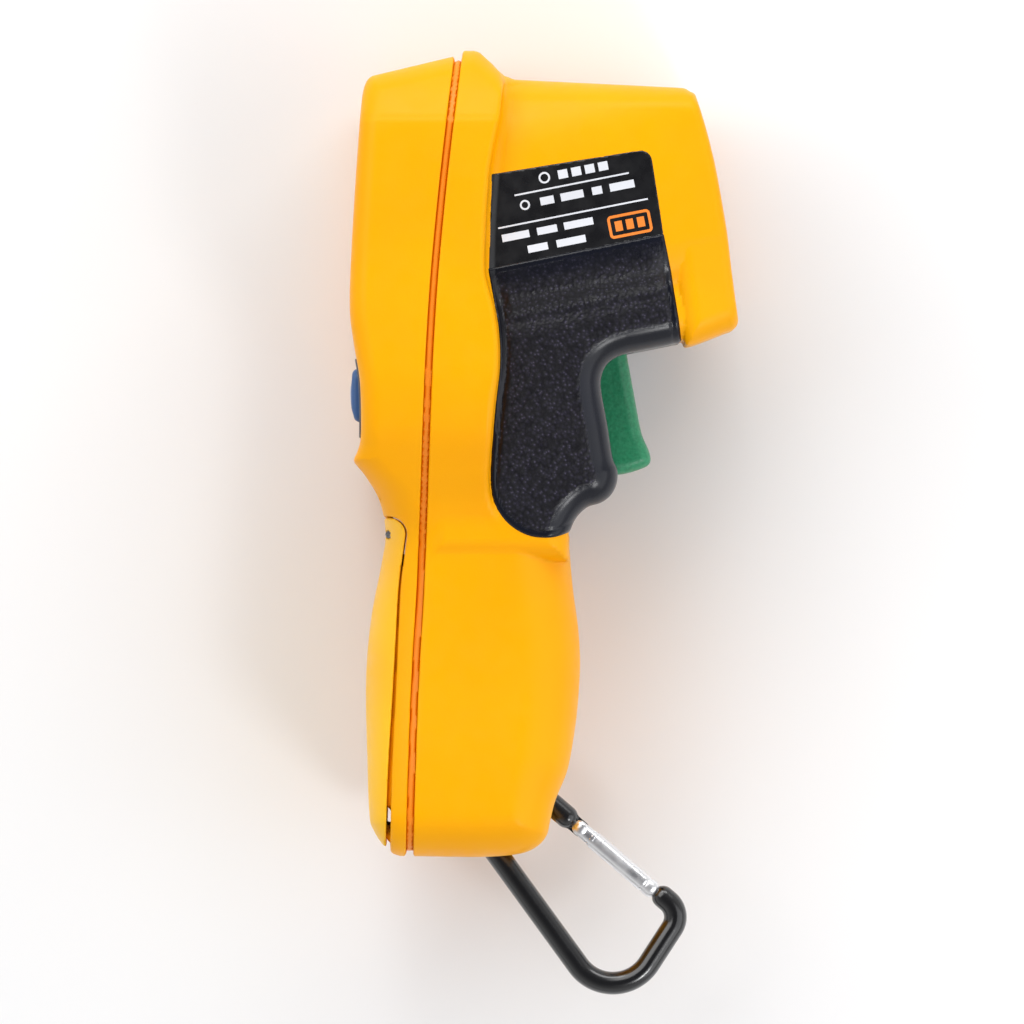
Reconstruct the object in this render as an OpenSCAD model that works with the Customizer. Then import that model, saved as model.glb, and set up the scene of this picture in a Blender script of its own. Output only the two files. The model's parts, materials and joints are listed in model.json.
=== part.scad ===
// Pistol-grip infrared thermometer with a snap-hook on its handle, lying on its left side.
// X runs towards the muzzle, Y up the handle to the head, Z from the left side to the right side.
// The origin is under the middle of the outline, on the plane that the head's left side rests on.

/* [Body] */
// Width across the head, left side to right side
head_w = 75; // [74:1:77]
// Width across the barrel at its root
barrel_w = 64; // [62:1:65]
// Wall thickness of the yellow shells, with the grip on where there is one
wall = 3; // [2.8:0.1:3.2]
// Thickness of the black overmoulded grip
grip_t = 1.5; // [1.3:0.1:1.6]
// Width of the recessed line between the two shells
groove_w = 1.6; // [1.4:0.1:1.8]
// Depth of that line below the surface
groove_d = 1.2; // [1:0.1:1.4]

/* [Optics] */
// Upward tilt of the aim axis from X, in degrees
aim_tilt = 10.4; // [10:0.1:11]
// Radius of the sensor aperture
aperture_r = 12; // [11.5:0.1:12]
// Distance of each laser from the aim axis
laser_offset = 19.3; // [19:0.1:19.5]

/* [Trigger] */
// Width of the trigger
trigger_w = 14; // [12:0.5:14]
// Clearance at each side of the trigger
trigger_gap = 0.5; // [0.4:0.1:0.8]
// Radius of the trigger pin
trigger_pin_r = 1.25; // [1:0.05:1.3]

/* [Keys] */
// Distance between neighbouring keys
key_pitch = 15.6; // [15.4:0.1:16]
// Width of a key
key_w = 12.4; // [12:0.1:12.8]
// Height of a key
key_h = 11.6; // [11:0.1:12]

/* [Battery] */
// Radius of the AA cell
cell_r = 7.1; // [6.8:0.05:7.2]
// Length of the AA cell with its button
cell_len = 50; // [49.5:0.1:50.5]

/* [Snap hook] */
// Radius of the snap hook's rod
rod_r = 2.5; // [2.2:0.1:2.6]
// Radius of the bend round the strap bar, at the middle of the rod
narrow_r = 7.9; // [7.8:0.05:8]
// Radius of the wide bend
wide_r = 9.4; // [9:0.1:9.8]
// Length of the hook's straight spine
spine_len = 32; // [31:0.5:32]
// Radius of the spring gate
gate_r = 2; // [1.9:0.05:2.1]

/* [Hidden] */

$fn = 48;
mid_z = head_w / 2;
big = 120;

// ---- curves ------------------------------------------------------------------------------

function knot(p, i) = p[max(0, min(len(p) - 1, i))];

function between(a, b, c, d, t) =
  0.5 * (2 * b + (c - a) * t + (2 * a - 5 * b + 4 * c - d) * t * t
    + (3 * b - a - 3 * c + d) * t * t * t);

// A smooth line through the points p, with n pieces between neighbours
function smooth(p, n = 4) = concat(
  [for (i = [0 : len(p) - 2]) for (k = [0 : n - 1])
    between(knot(p, i - 1), p[i], p[i + 1], knot(p, i + 2), k / n)],
  [p[len(p) - 1]]);

function shifted(p, dx) = [for (q = p) [q[0] + dx, q[1]]];

function reversed(p) = [for (i = [len(p) - 1 : -1 : 0]) p[i]];

function mirrored(p) = concat(p, [for (i = [len(p) - 1 : -1 : 0]) [-p[i][0], p[i][1]]]);

function arc(c, r, a0, a1, n) = [for (i = [0 : n])
  let (a = a0 + (a1 - a0) * i / n) [c[0] + r * cos(a), c[1] + r * sin(a)]];

// ---- outlines in the mid-plane -----------------------------------------------------------

rear_edge = smooth([[-37.8, 97], [-39.6, 90], [-41, 72], [-42, 54], [-41.4, 40], [-39.8, 30],
  [-39.8, 19], [-41.1, 14], [-38.6, 10], [-35.6, 5], [-34.6, -2], [-36.4, -14],
  [-38.6, -30], [-38.7, -46], [-38, -63], [-36, -69], [-32, -72]]);

// Rear edge of the black grip, from the label down and round to the front of the handle
panel_edge = smooth([[-11.8, 76.4], [-12.8, 60], [-12.2, 52], [-10.2, 42], [-10, 33],
  [-11.4, 19], [-12, 9], [-9.8, 2.4], [-4.8, -2], [0, -3], [5.3, -1.9]]);

// Front of the grip, from the handle up past the finger rest to under the barrel
grip_front = smooth([[5.3, -1.9], [7, 2.4], [9.5, 4.2], [12.2, 5.2], [14.6, 7], [15.6, 10.2],
  [14.4, 15], [13.2, 22], [12, 29], [12.6, 34], [15.5, 36.6], [20, 37.6], [29.7, 39.9]]);

handle_front = smooth([[-29, -72.1], [-14, -72.2], [-3, -71], [1, -67.6], [2, -61],
  [5, -53.5], [7.2, -41], [7.8, -30], [7.2, -21], [5.8, -8], [5.3, -1.9]]);

nose_front = smooth([[29.7, 39], [32, 39], [38.5, 41.2], [42.2, 45.5], [40.6, 55],
  [38.4, 70.5], [35, 86], [33, 92], [31.5, 94.5]]);

groove_line = smooth([[-19, 105], [-23, 71], [-25.5, 40], [-27.4, -8], [-29, -38],
  [-30.2, -75]]);

head_side = concat([for (p = rear_edge) if (p[1] > 3) p],
  [for (p = reversed(panel_edge)) if (p[1] > 9) p],
  [[-10.9, 82], [-9.6, 88], [-8.3, 96.7], [-14.4, 102.8], [-17.7, 102.7], [-19.2, 101.7]]);

fore_side = concat([[-30, 20], [-20, 14], [-20, -2.6]], grip_front, nose_front,
  [[-8, 96.6], [-30, 96.6]]);

handle_side = concat([for (p = rear_edge) if (p[1] < 9) p], handle_front,
  [[4, 4], [-5, 18], [-30, 18]]);

// Half widths seen from behind, from the top down
head_half = head_w / 2;
barrel_half = barrel_w / 2;
head_back = mirrored([[22, 103], [30, 99], [35, 94], [head_half, 86], [head_half, 34],
  [35, 22], [30.5, 12], [25, 3], [24, -2]]);
fore_back = mirrored([[22, 97], [28, 94.5], [barrel_half - 1, 88], [barrel_half, 62],
  [29, 40], [28, 35], [26.4, 20], [25, 8], [24, -3]]);
handle_back = mirrored([[22, 18], [23.4, 0], [22.4, -20], [24, -45], [25, -62],
  [23.6, -69], [19, -73]]);

// ---- placing flat shapes -----------------------------------------------------------------

module across(half) translate([0, 0, mid_z - half]) linear_extrude(2 * half) children();

module along_x(x_lo, x_hi)
  translate([x_lo, 0, mid_z]) rotate([0, 90, 0]) linear_extrude(x_hi - x_lo) children();

module along_y(y_lo, y_hi)
  translate([0, y_hi, mid_z]) rotate([90, 0, 0]) linear_extrude(y_hi - y_lo) children();

module rounded(w, h, r) offset(r) square([w - 2 * r, h - 2 * r], center = true);

// A rod along X from x_lo to x_hi, in the frame it is called in
module x_rod(r, x_lo, x_hi)
  translate([x_lo, 0, 0]) rotate([0, 90, 0]) cylinder(r = r, h = x_hi - x_lo);

// A rod along Z, centred on the mid-plane, at point p
module z_rod(p, r, half)
  translate([p[0], p[1], mid_z - half]) cylinder(r = r, h = 2 * half);

// ---- the body's outer shape, set in by d all over -----------------------------------------

module head(d) intersection() {
  across(head_half - d) offset(delta = -d) polygon(head_side);
  along_x(-60, 60) offset(delta = -d) polygon(head_back);
}

module fore(d) intersection() {
  across(barrel_half + 1 - d) offset(delta = -d) polygon(fore_side);
  along_x(-60, 60) offset(delta = -d) polygon(fore_back);
  along_y(-20, 110) offset(delta = -d)
    polygon([[-32, -33], [18, -32.6], [32, -31], [44, -28.6],
      [44, 28.6], [32, 31], [18, 32.6], [-32, 33]]);
}

module handle(d) intersection() {
  across(26 - d) offset(delta = -d) polygon(handle_side);
  along_x(-60, 60) offset(delta = -d) polygon(handle_back);
  along_y(-80, 30) translate([-15.4, 0]) rounded(48 - 2 * d, 50.6 - 2 * d, 14 - d);
}

module body(d) {
  head(d);
  fore(d);
  handle(d);
}

module region(outline) across(big / 2) polygon(outline);

module rear_side() region(concat([[-big, 105]], groove_line, [[-big, -75]]));

module front_side()
  region(concat([[big, 105]], shifted(groove_line, groove_w), [[big, -75]]));

// The grip's area: the panel's edge, the front, and the nose and label above it
label_low_rear = [-12.6, 54.6];
label_low_nose = [26.2, 62.2];
grip_area = concat([for (p = reversed(panel_edge)) if (p[1] < 54) p],
  [label_low_rear, label_low_nose, [27.7, 54.8], [29.5, 44.3], [29.9, 36]], [[22, 20], [22, 6]],
  [[8, -3]]);
label_area = [[-11.4, 75.9], [21.4, 81.2], [23.2, 79.6], [25.9, 62.8], [-12.2, 55.2]];

// ---- frames of the muzzle and of the display ----------------------------------------------

// Middle of the muzzle's face, with X along the aim axis
module at_muzzle() translate([37.4, 69.4, mid_z]) rotate([0, 0, aim_tilt]) children();

// Middle of the display's face, with X going inwards
module at_display() translate([-41.3, 67, mid_z]) rotate([0, 0, -3.5]) children();

module plate(x_lo, x_hi, h, w, r) translate([x_lo, 0, 0]) rotate([0, 90, 0])
  linear_extrude(x_hi - x_lo) rounded(w, h, r);

// ---- fastening and hinge places -----------------------------------------------------------

// Each pair of housing screws: height, distance from the mid-plane, place of the joint
// between the shells, how far behind it the head starts, and how far back the boss goes
screw_places = [[90.4, 27.2, -21.2, 8, 18], [8.3, 18.1, -26.4, 8, 14],
  [-63.6, 18.8, -29.4, 3.6, 3.7]];
boss_r = 4.2;
trigger_pivot = [12.5, 43];
door_axis = [-33.7, -2.1];
door_r = 3.9;
bar_at = [-5, -65.6];
spine_dir = -54;
gate_dir = -40.5;
bar_r = narrow_r - rod_r - 0.3;
slot_half = 3.3;
slot_r = narrow_r + rod_r + 0.6;

module screw_holes(r, x_of, x_to) for (s = screw_places) for (side = [-1, 1])
  translate([0, s[0], mid_z + side * s[1]]) x_rod(r, s[2] + x_of, s[2] + x_to);

module rear_bosses() for (s = screw_places) for (side = [-1, 1])
  translate([0, s[0], mid_z + side * s[1]]) x_rod(boss_r, s[2] - s[4], s[2]);

module screw_head_rooms() for (s = screw_places) for (side = [-1, 1])
  translate([0, s[0], mid_z + side * s[1]]) x_rod(2.9, s[2] - 22, s[2] - s[3] + 2);

// Room that the snap hook needs to swing on its bar
module hook_room() {
  z_rod(bar_at, slot_r, slot_half + 0.05);
  for (a = [-91, -20])
    translate([bar_at[0], bar_at[1], mid_z - slot_half]) rotate([0, 0, a])
      translate([0, -slot_r, 0]) cube([30, 2 * slot_r, 2 * slot_half]);
}

module trigger_room() across(trigger_w / 2 + trigger_gap)
  polygon([[-3, 9.6], [17.6, 9.6], [17, 30], [19.2, 36], [19.2, 43.5], [-3, 43.5]]);

// ---- shells --------------------------------------------------------------------------------

module trigger_lugs() for (side = [-1, 1])
  translate([0, 0, mid_z + side * 9.6 - 1.6]) linear_extrude(3.2) {
    translate(trigger_pivot) circle(3.6);
    polygon([[8.9, 43], [16.1, 43], [19, 36], [12.8, 34.5], [10, 38]]);
  }

module front_shell() {
  difference() {
    body(0);
    body(wall);
    intersection() {
      region(grip_area);
      difference() {
        body(-1);
        body(grip_t);
      }
    }
    label_blanks(2.4, 0.35, [-1, 1]);
  }
  // walls round the room for the snap hook
  intersection() {
    body(1);
    z_rod(bar_at, slot_r + 1.9, slot_half + 2);
  }
}

// Slabs that follow the barrel's sides where the labels lie
module label_blanks(thick, grow, sides) for (side = sides)
  translate([0, 0, mid_z + side * (barrel_half - 0.4)]) rotate([side * -0.6, 0, 0])
    translate([0, 0, -thick / 2]) linear_extrude(thick)
      offset(delta = grow) polygon(label_area);

module front_housing() color([0.97, 0.68, 0.02]) difference() {
  union() {
    intersection() {
      front_side();
      union() {
        front_shell();
        intersection() {
          body(2);
          union() {
            screw_holes(boss_r, groove_w, 11);
            trigger_lugs();
            // rib behind the trigger spring
            translate([-6.4, 11.4, mid_z - 30]) cube([1.8, 9, 60]);
            // pegs that carry the trigger switch
            for (y = [23.4, 28.6]) translate([-4, y, 0]) cylinder(r = 0.95, h = mid_z + 2.6);
            // bulkhead that holds the lens barrel and the lasers
            at_muzzle() translate([-23, -40, -40]) cube([2.5, 80, 80]);
          }
        }
      }
    }
  }
  at_muzzle() {
    plate(-8, 6, 36, 47.6, 8);
    x_rod(14.6, -30, -10);
    for (side = [-1, 1]) translate([0, 0, side * laser_offset]) x_rod(3.25, -30, -10);
    translate([-24, -40, -60]) cube([5, 16, 120]);
  }
  trigger_room();
  z_rod(trigger_pivot, trigger_pin_r, 11.4);
  screw_holes(1.3, -5, 9);
  difference() {
    hook_room();
    z_rod(bar_at, bar_r, slot_half + 1);
  }
}

// Seam between the battery door and the cover, down from the hinge
seam_line = [[-30.3, -5.4], [-31.2, -14], [-31.9, -27], [-32.4, -40], [-33, -52],
  [-33.3, -66], [-33.4, -76]];

module door_area(gap) union() {
  region(concat([[-60, door_axis[1]], [door_axis[0] + door_r - gap, door_axis[1]]],
    [for (p = seam_line) [p[0] - gap * (1 - p[1] / 28), p[1]]], [[-60, -76]]));
  intersection() {
    z_rod(door_axis, door_r - gap, 40);
    region([[-60, door_axis[1] - 0.5], [0, door_axis[1] - 0.5], [0, 5], [-60, 5]]);
  }
}

module rear_cover() color([0.98, 0.72, 0.04]) difference() {
  union() {
    intersection() {
      rear_side();
      difference() {
        body(0);
        body(wall);
        door_area(0);
      }
    }
    intersection() {
      rear_side();
      body(1.4);
      union() {
        rear_bosses();
        at_display() for (y = [22.4, -51.4]) for (side = [-1, 1])
          translate([0, y, side * 18]) x_rod(2.6, 1, 9.9);
      }
    }
    // lugs that carry the door's pin
    intersection() {
      body(0.4);
      for (side = [-1, 1]) translate([0, 0, mid_z + side * 10 - 1.5]) linear_extrude(3) {
        translate(door_axis) circle(2);
        polygon([[-35.7, -2.1], [-31.7, -2.1], [-31, 9], [-38, 9]]);
      }
    }
  }
  at_display() {
    plate(-3, 6, 31, 41, 4);
    plate(-3, 2.1, 34.6, 44.6, 5);
    for (y = [22.4, -51.4]) for (side = [-1, 1])
      translate([0, y, side * 18]) x_rod(1, 5, 12);
  }
  translate([-45, 27.4, mid_z]) plate(0, 10, 17.7, 50.4, 4);
  screw_holes(1.6, -10, 2);
  screw_head_rooms();
  z_rod(door_axis, 0.8, 16.4);
}

module parting_seal() color([0.94, 0.5, 0.02]) intersection() {
  region(concat(groove_line, reversed(shifted(groove_line, groove_w))));
  difference() {
    body(groove_d);
    body(wall);
    hook_room();
  }
}

module grip_wrap() color([0.09, 0.09, 0.13]) difference() {
  intersection() {
    front_side();
    region(grip_area);
    difference() {
      body(0);
      body(grip_t);
    }
  }
  trigger_room();
  label_blanks(2.4, 0.35, [-1, 1]);
}

module label_plate(side) color([0.06, 0.06, 0.07]) intersection() {
  label_blanks(2.1, 0, [side]);
  body(0.3);
}

module label_plate_right() label_plate(1);

module label_plate_left() label_plate(-1);

// ---- optics --------------------------------------------------------------------------------

module nose_bezel() color([0.05, 0.05, 0.06]) at_muzzle() difference() {
  union() {
    plate(-3.3, -1.2, 35.6, 47.2, 7.8);
    plate(-4.6, -3.2, 38, 50, 8);
    x_rod(aperture_r + 2.4, -9.9, -2);
  }
  x_rod(aperture_r, -12, 2);
  for (side = [-1, 1]) translate([0, 0, side * laser_offset]) x_rod(2.75, -12, 2);
}

module lens() color([0.2, 0.22, 0.24]) at_muzzle() x_rod(aperture_r, -12.6, -11.4);

module lens_barrel() color([0.12, 0.12, 0.13]) at_muzzle() difference() {
  union() {
    x_rod(14.5, -42, -10);
    for (y = [-9, 9]) for (z = [-9, 9]) translate([0, y, z]) x_rod(1.5, -44.9, -41);
  }
  x_rod(aperture_r + 0.05, -12.7, -9);
  x_rod(aperture_r - 1.4, -40, -12);
  x_rod(4.2, -43, -39);
}

module sensor_can() color([0.75, 0.75, 0.74]) at_muzzle() {
  x_rod(4.15, -44.3, -40.4);
  x_rod(4.9, -44.9, -43.9);
}

module sensor_board() color([0.1, 0.4, 0.2]) at_muzzle() plate(-46.6, -45, 27, 27, 2);

module laser(side) color([0.72, 0.58, 0.3]) at_muzzle() translate([0, 0, side * laser_offset])
  difference() {
    x_rod(3.2, -26, -5);
    x_rod(1.6, -10, -4);
  }

module laser_module_left() laser(-1);

module laser_module_right() laser(1);

module laser_windows() color([0.6, 0.2, 0.2]) at_muzzle() for (side = [-1, 1])
  translate([0, 0, side * laser_offset]) x_rod(2.7, -3.4, -2.4);

// ---- display, keys and board ----------------------------------------------------------------

module display_window() color([0.3, 0.33, 0.36]) at_display() plate(0.6, 2.1, 34.2, 44.2, 4.8);

module display_frame() color([0.1, 0.1, 0.1]) at_display() difference() {
  plate(3.45, 9.9, 37, 46.6, 3);
  plate(3, 10, 30.8, 40.8, 1.2);
}

module lcd_panel() color([0.62, 0.68, 0.6]) at_display() plate(3.6, 6, 30.4, 40.4, 1);

module backlight() color([0.9, 0.92, 0.9]) at_display() plate(6.1, 7.9, 30.4, 40.4, 1);

module main_board() color([0.1, 0.42, 0.2]) at_display() difference() {
  translate([0, -14.2, 0]) plate(10, 11.6, 79, 44, 2);
  for (y = [22.4, -51.4]) for (side = [-1, 1])
    translate([0, y, side * 18]) x_rod(1.35, 8, 14);
}

module buzzer() color([0.1, 0.1, 0.1]) at_display() translate([0, 8, -8]) difference() {
  x_rod(6, 11.7, 15.4);
  x_rod(1, 14, 17);
}

module key_switches() color([0.7, 0.7, 0.7]) at_display() for (k = [-1 : 1])
  translate([0, -39, k * key_pitch]) plate(8.5, 9.95, 6, 6, 0.8);

key_mid_y = 28.1;

module keypad_frame() color([0.5, 0.52, 0.55]) translate([0, 27.4, mid_z]) difference() {
  union() {
    plate(-40.2, -37.5, 17.4, 50, 4);
    plate(-37.6, -36.2, 17.4, 50, 4);
    plate(-36.3, -35.5, 19.6, 52, 4);
  }
  for (k = [-1 : 1]) translate([0, key_mid_y - 27.4, k * key_pitch]) {
    plate(-42, -36, key_h + 0.6, key_w + 0.6, 2.3);
    plate(-38.4, -30, key_h + 2.4, key_w + 2.4, 3);
  }
}

module key(k) color([0.3, 0.44, 0.68]) translate([0, key_mid_y, mid_z + k * key_pitch]) {
  plate(-41.9, -37.5, key_h, key_w, 2);
  plate(-37.6, -36.4, key_h + 1.7, key_w + 1.7, 2.6);
}

module key_left() key(-1);

module key_center() key(0);

module key_right() key(1);

module coil(r, wire, turns, pitch, taper = 0) {
  steps = 14;
  sides = 6;
  count = turns * steps;
  rings = [for (i = [0 : count]) let (a = 360 * i / steps, q = r - taper * i / count)
    [for (k = [0 : sides - 1]) let (b = 360 * k / sides, w = q + wire * cos(b))
      [w * cos(a), w * sin(a), pitch * i / steps + wire * sin(b)]]];
  polyhedron(
    points = [for (ring = rings) for (p = ring) p],
    faces = concat([[for (k = [0 : sides - 1]) k]],
      [for (i = [0 : count - 1]) for (k = [0 : sides - 1]) let (n = (k + 1) % sides)
        [i * sides + k, (i + 1) * sides + k, (i + 1) * sides + n, i * sides + n]],
      [[for (k = [sides - 1 : -1 : 0]) count * sides + k]]));
}

// ---- trigger --------------------------------------------------------------------------------

trigger_front = smooth([[18.2, 37], [19.3, 30.3], [20.9, 21.4], [21.7, 18.6], [23, 15.6],
  [22.9, 13.4], [21.2, 12.1], [17.6, 11.2]]);
trigger_outline = concat([[12.5, 46.5], [16, 43]], trigger_front,
  [[14, 10.7], [9, 11], [6, 14], [5.4, 27], [8, 40], [9, 43]]);

module trigger() color([0.12, 0.52, 0.33]) difference() {
  intersection() {
    union() {
      across(trigger_w / 2) polygon(trigger_outline);
      z_rod(trigger_pivot, 3.5, trigger_w / 2);
    }
    union() {
      along_y(0, 50) translate([9, 0]) rounded(28, trigger_w, 4);
      across(trigger_w / 2) polygon([[5, 39], [16, 39], [17, 47], [5, 47]]);
    }
  }
  z_rod(trigger_pivot, trigger_pin_r + 0.05, 10);
  translate([0, 16, mid_z]) x_rod(3, 4, 8);
}

module trigger_pin() color([0.7, 0.7, 0.72]) z_rod(trigger_pivot, trigger_pin_r, 11.3);

module trigger_spring() color([0.75, 0.75, 0.75]) translate([-4.2, 16, mid_z])
  rotate([0, 90, 0]) coil(2.2, 0.35, 6, 1.93);

module trigger_switch() color([0.12, 0.12, 0.12]) difference() {
  union() {
    translate([-7.5, 21, mid_z - 2.6]) cube([8, 10, 5.2]);
    translate([0, 26, mid_z]) x_rod(1, 0, 1.6);
  }
  for (y = [23.4, 28.6]) translate([-4, y, mid_z - 5]) cylinder(r = 1, h = 12);
}

// ---- battery --------------------------------------------------------------------------------

cell_x = -25.4;
cell_lo = -55;

module battery_door() color([1, 0.8, 0.08]) difference() {
  union() {
    intersection() {
      door_area(0.28);
      difference() {
        body(0);
        body(2.5);
      }
    }
    intersection() {
      body(0.2);
      door_area(0.28);
      for (side = [-1, 1]) translate([0, 0, mid_z + side * 14 - 2]) linear_extrude(4) {
        translate(door_axis) circle(2.1);
        polygon([[-36.4, -2.1], [-32.2, -2.1], [-34, -8], [-37.4, -8]]);
      }
    }
  }
  for (side = [-1, 1])
    translate([door_axis[0], door_axis[1], mid_z + side * 10 - 1.8]) cylinder(r = 4.4, h = 3.6);
  z_rod(door_axis, 0.85, 16.8);
}

module door_pin() color([0.75, 0.75, 0.76]) z_rod(door_axis, 0.8, 16);

module at_cell() translate([cell_x, 0, mid_z]) rotate([-90, 0, 0]) children();

module battery_tray() color([0.1, 0.1, 0.11]) difference() {
  translate([-26.4, -58.6, mid_z - 9]) cube([9.4, 55.4, 18]);
  at_cell() translate([0, 0, -57.6]) cylinder(r = cell_r + 0.15, h = 53.6);
  translate([-27, -57.6, mid_z - cell_r - 0.15]) cube([1.6, 53.6, 2 * cell_r + 0.3]);
}

module battery() color([0.75, 0.6, 0.25]) at_cell() translate([0, 0, cell_lo]) {
  cylinder(r = cell_r, h = cell_len - 1);
  cylinder(r = 2.7, h = cell_len);
}

module battery_spring() color([0.8, 0.8, 0.78]) at_cell() translate([0, 0, -57.2])
  coil(4.6, 0.35, 3, 0.6, 2.6);

module battery_contact() color([0.8, 0.8, 0.78]) at_cell() translate([-0.6, -4, -4.6])
  cube([6, 8, 0.5]);

// ---- fasteners ------------------------------------------------------------------------------

module housing_screws() color([0.6, 0.6, 0.62]) for (s = screw_places) for (side = [-1, 1])
  translate([0, s[0], mid_z + side * s[1]]) difference() {
    union() {
      x_rod(1.25, s[2] - s[3] + 1, s[2] + 8);
      x_rod(2.6, s[2] - s[3], s[2] - s[3] + 1.95);
    }
    translate([s[2] - s[3] - 0.4, -1.5, -0.3]) cube([1.4, 3, 0.6]);
    translate([s[2] - s[3] - 0.4, -0.3, -1.5]) cube([1.4, 0.6, 3]);
  }

module board_screws() color([0.6, 0.6, 0.62]) at_display() for (y = [22.4, -51.4])
  for (side = [-1, 1]) translate([0, y, side * 18]) {
    x_rod(0.95, 5.4, 12);
    x_rod(2, 11.65, 12.8);
  }

// ---- snap hook ------------------------------------------------------------------------------

// A place on the hook's rod: x, y and heading
function ahead(s, d) = [s[0] + d * cos(s[2]), s[1] + d * sin(s[2]), s[2]];
function bend_mid(s, r) = [s[0] - r * sin(s[2]), s[1] + r * cos(s[2])];
function bent(s, r, turn) = let (c = bend_mid(s, r), a = s[2] + turn)
  [c[0] + r * sin(a), c[1] - r * cos(a), a];

spine_top = [bar_at[0] + narrow_r * sin(spine_dir), bar_at[1] - narrow_r * cos(spine_dir),
  spine_dir];
spine_end = ahead(spine_top, spine_len);
wide_turn = 111;
wide_end = bent(spine_end, wide_r, wide_turn);
side_end = ahead(wide_end, 9.2);
tight_r = 4.5;
bend_r = rod_r + 0.05;
hook_tip = bent(side_end, tight_r, 180 + gate_dir - spine_dir - wide_turn);
gate_root = [bar_at[0] - narrow_r * sin(gate_dir), bar_at[1] + narrow_r * cos(gate_dir),
  gate_dir];
rivet_at = ahead(gate_root, 10.4);
gate_len = norm([hook_tip[0] - rivet_at[0], hook_tip[1] - rivet_at[1]]) - 3.2;

module rod_line(s, len, r) translate([s[0], s[1], mid_z]) rotate([0, 0, s[2]])
  rotate([0, 90, 0]) cylinder(r = r, h = len);

// Short ball that joins two stretches of rod
module straight(s, len) rod_line(ahead(s, -0.5), len + 0.5, rod_r);

module rod_bend(s, r, turn) {
  c = bend_mid(s, r);
  translate([c[0], c[1], mid_z]) rotate([0, 0, s[2] - 90])
    rotate_extrude(angle = turn) translate([r, 0]) circle(bend_r);
}

module carabiner_body() color([0.04, 0.04, 0.05]) difference() {
  union() {
    straight(spine_top, spine_len + 0.5);
    rod_bend(spine_end, wide_r, wide_turn);
    straight(wide_end, 9.7);
    rod_bend(side_end, tight_r, hook_tip[2] - side_end[2]);
    straight(hook_tip, 2.6);
    translate([bar_at[0], bar_at[1], mid_z]) rotate([0, 0, gate_dir + 90])
      rotate_extrude(angle = 180 + spine_dir - gate_dir) translate([narrow_r, 0])
        circle(bend_r);
    straight(gate_root, 7.6);
    intersection() {
      rod_line(ahead(gate_root, 5), 7.2, 1.8);
      across(0.8) translate([rivet_at[0], rivet_at[1]]) circle(6);
    }
  }
  z_rod(rivet_at, 0.8, 4);
}

module carabiner_gate() color([0.85, 0.85, 0.86]) difference() {
  rod_line(ahead(rivet_at, -2.4), gate_len + 2.4, gate_r);
  translate([rivet_at[0], rivet_at[1], mid_z - 1]) rotate([0, 0, gate_dir])
    translate([-4, -4, 0]) cube([8, 8, 2]);
  rod_line(rivet_at, 16, 1.15);
  z_rod(rivet_at, 0.85, 4);
}

module gate_rivet() color([0.9, 0.9, 0.9]) {
  z_rod(rivet_at, 0.8, 1.9);
  for (z = [mid_z - 2.6, mid_z + 2.05])
    translate([rivet_at[0], rivet_at[1], z]) cylinder(r = 1.3, h = 0.55);
}

module gate_spring() color([0.8, 0.8, 0.8])
  translate([ahead(rivet_at, 4.6)[0], ahead(rivet_at, 4.6)[1], mid_z])
    rotate([0, 0, gate_dir]) rotate([0, 90, 0]) coil(0.8, 0.25, 5, 2);

front_housing();
rear_cover();
parting_seal();
grip_wrap();
label_plate_right();
label_plate_left();
nose_bezel();
lens();
lens_barrel();
sensor_can();
sensor_board();
laser_module_left();
laser_module_right();
laser_windows();
display_window();
display_frame();
lcd_panel();
backlight();
main_board();
buzzer();
key_switches();
keypad_frame();
key_left();
key_center();
key_right();
trigger();
trigger_pin();
trigger_spring();
trigger_switch();
battery_door();
door_pin();
battery_tray();
battery();
battery_spring();
battery_contact();
housing_screws();
board_screws();
carabiner_body();
carabiner_gate();
gate_rivet();
gate_spring();
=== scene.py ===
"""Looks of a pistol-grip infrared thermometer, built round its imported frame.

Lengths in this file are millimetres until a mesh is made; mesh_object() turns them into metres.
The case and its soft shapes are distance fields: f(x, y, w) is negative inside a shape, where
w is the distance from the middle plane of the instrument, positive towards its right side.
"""
import functools
import json
import math

import bpy
import numpy as np
from mathutils import Matrix, Vector


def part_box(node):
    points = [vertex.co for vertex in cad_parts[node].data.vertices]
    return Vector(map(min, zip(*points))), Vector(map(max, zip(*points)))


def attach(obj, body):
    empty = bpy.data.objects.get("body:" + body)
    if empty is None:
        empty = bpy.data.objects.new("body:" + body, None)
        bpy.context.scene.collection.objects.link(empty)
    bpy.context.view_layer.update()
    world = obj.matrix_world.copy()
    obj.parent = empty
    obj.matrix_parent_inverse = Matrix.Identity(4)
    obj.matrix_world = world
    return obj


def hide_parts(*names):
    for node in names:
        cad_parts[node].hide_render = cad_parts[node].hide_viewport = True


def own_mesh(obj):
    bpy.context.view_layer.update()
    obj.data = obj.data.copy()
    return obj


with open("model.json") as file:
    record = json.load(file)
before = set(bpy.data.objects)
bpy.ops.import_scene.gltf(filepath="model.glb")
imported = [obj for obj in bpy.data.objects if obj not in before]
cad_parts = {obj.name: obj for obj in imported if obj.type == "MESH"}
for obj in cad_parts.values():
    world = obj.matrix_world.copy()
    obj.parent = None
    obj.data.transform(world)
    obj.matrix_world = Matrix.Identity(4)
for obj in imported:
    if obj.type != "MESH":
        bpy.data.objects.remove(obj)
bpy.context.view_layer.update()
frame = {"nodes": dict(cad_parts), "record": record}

MM = 0.001
MID_Z = 1000 * (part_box("trigger")[0][2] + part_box("trigger")[1][2]) / 2

# Grid cells of the meshes, and the grid's reach round the case
CASE_CELL = 0.8
FINE = 0.42
CASE_Y = (-73.6, 103.8)
CASE_W = (-38.6, 38.6)

# ---- sizes --------------------------------------------------------------------------------------

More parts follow.
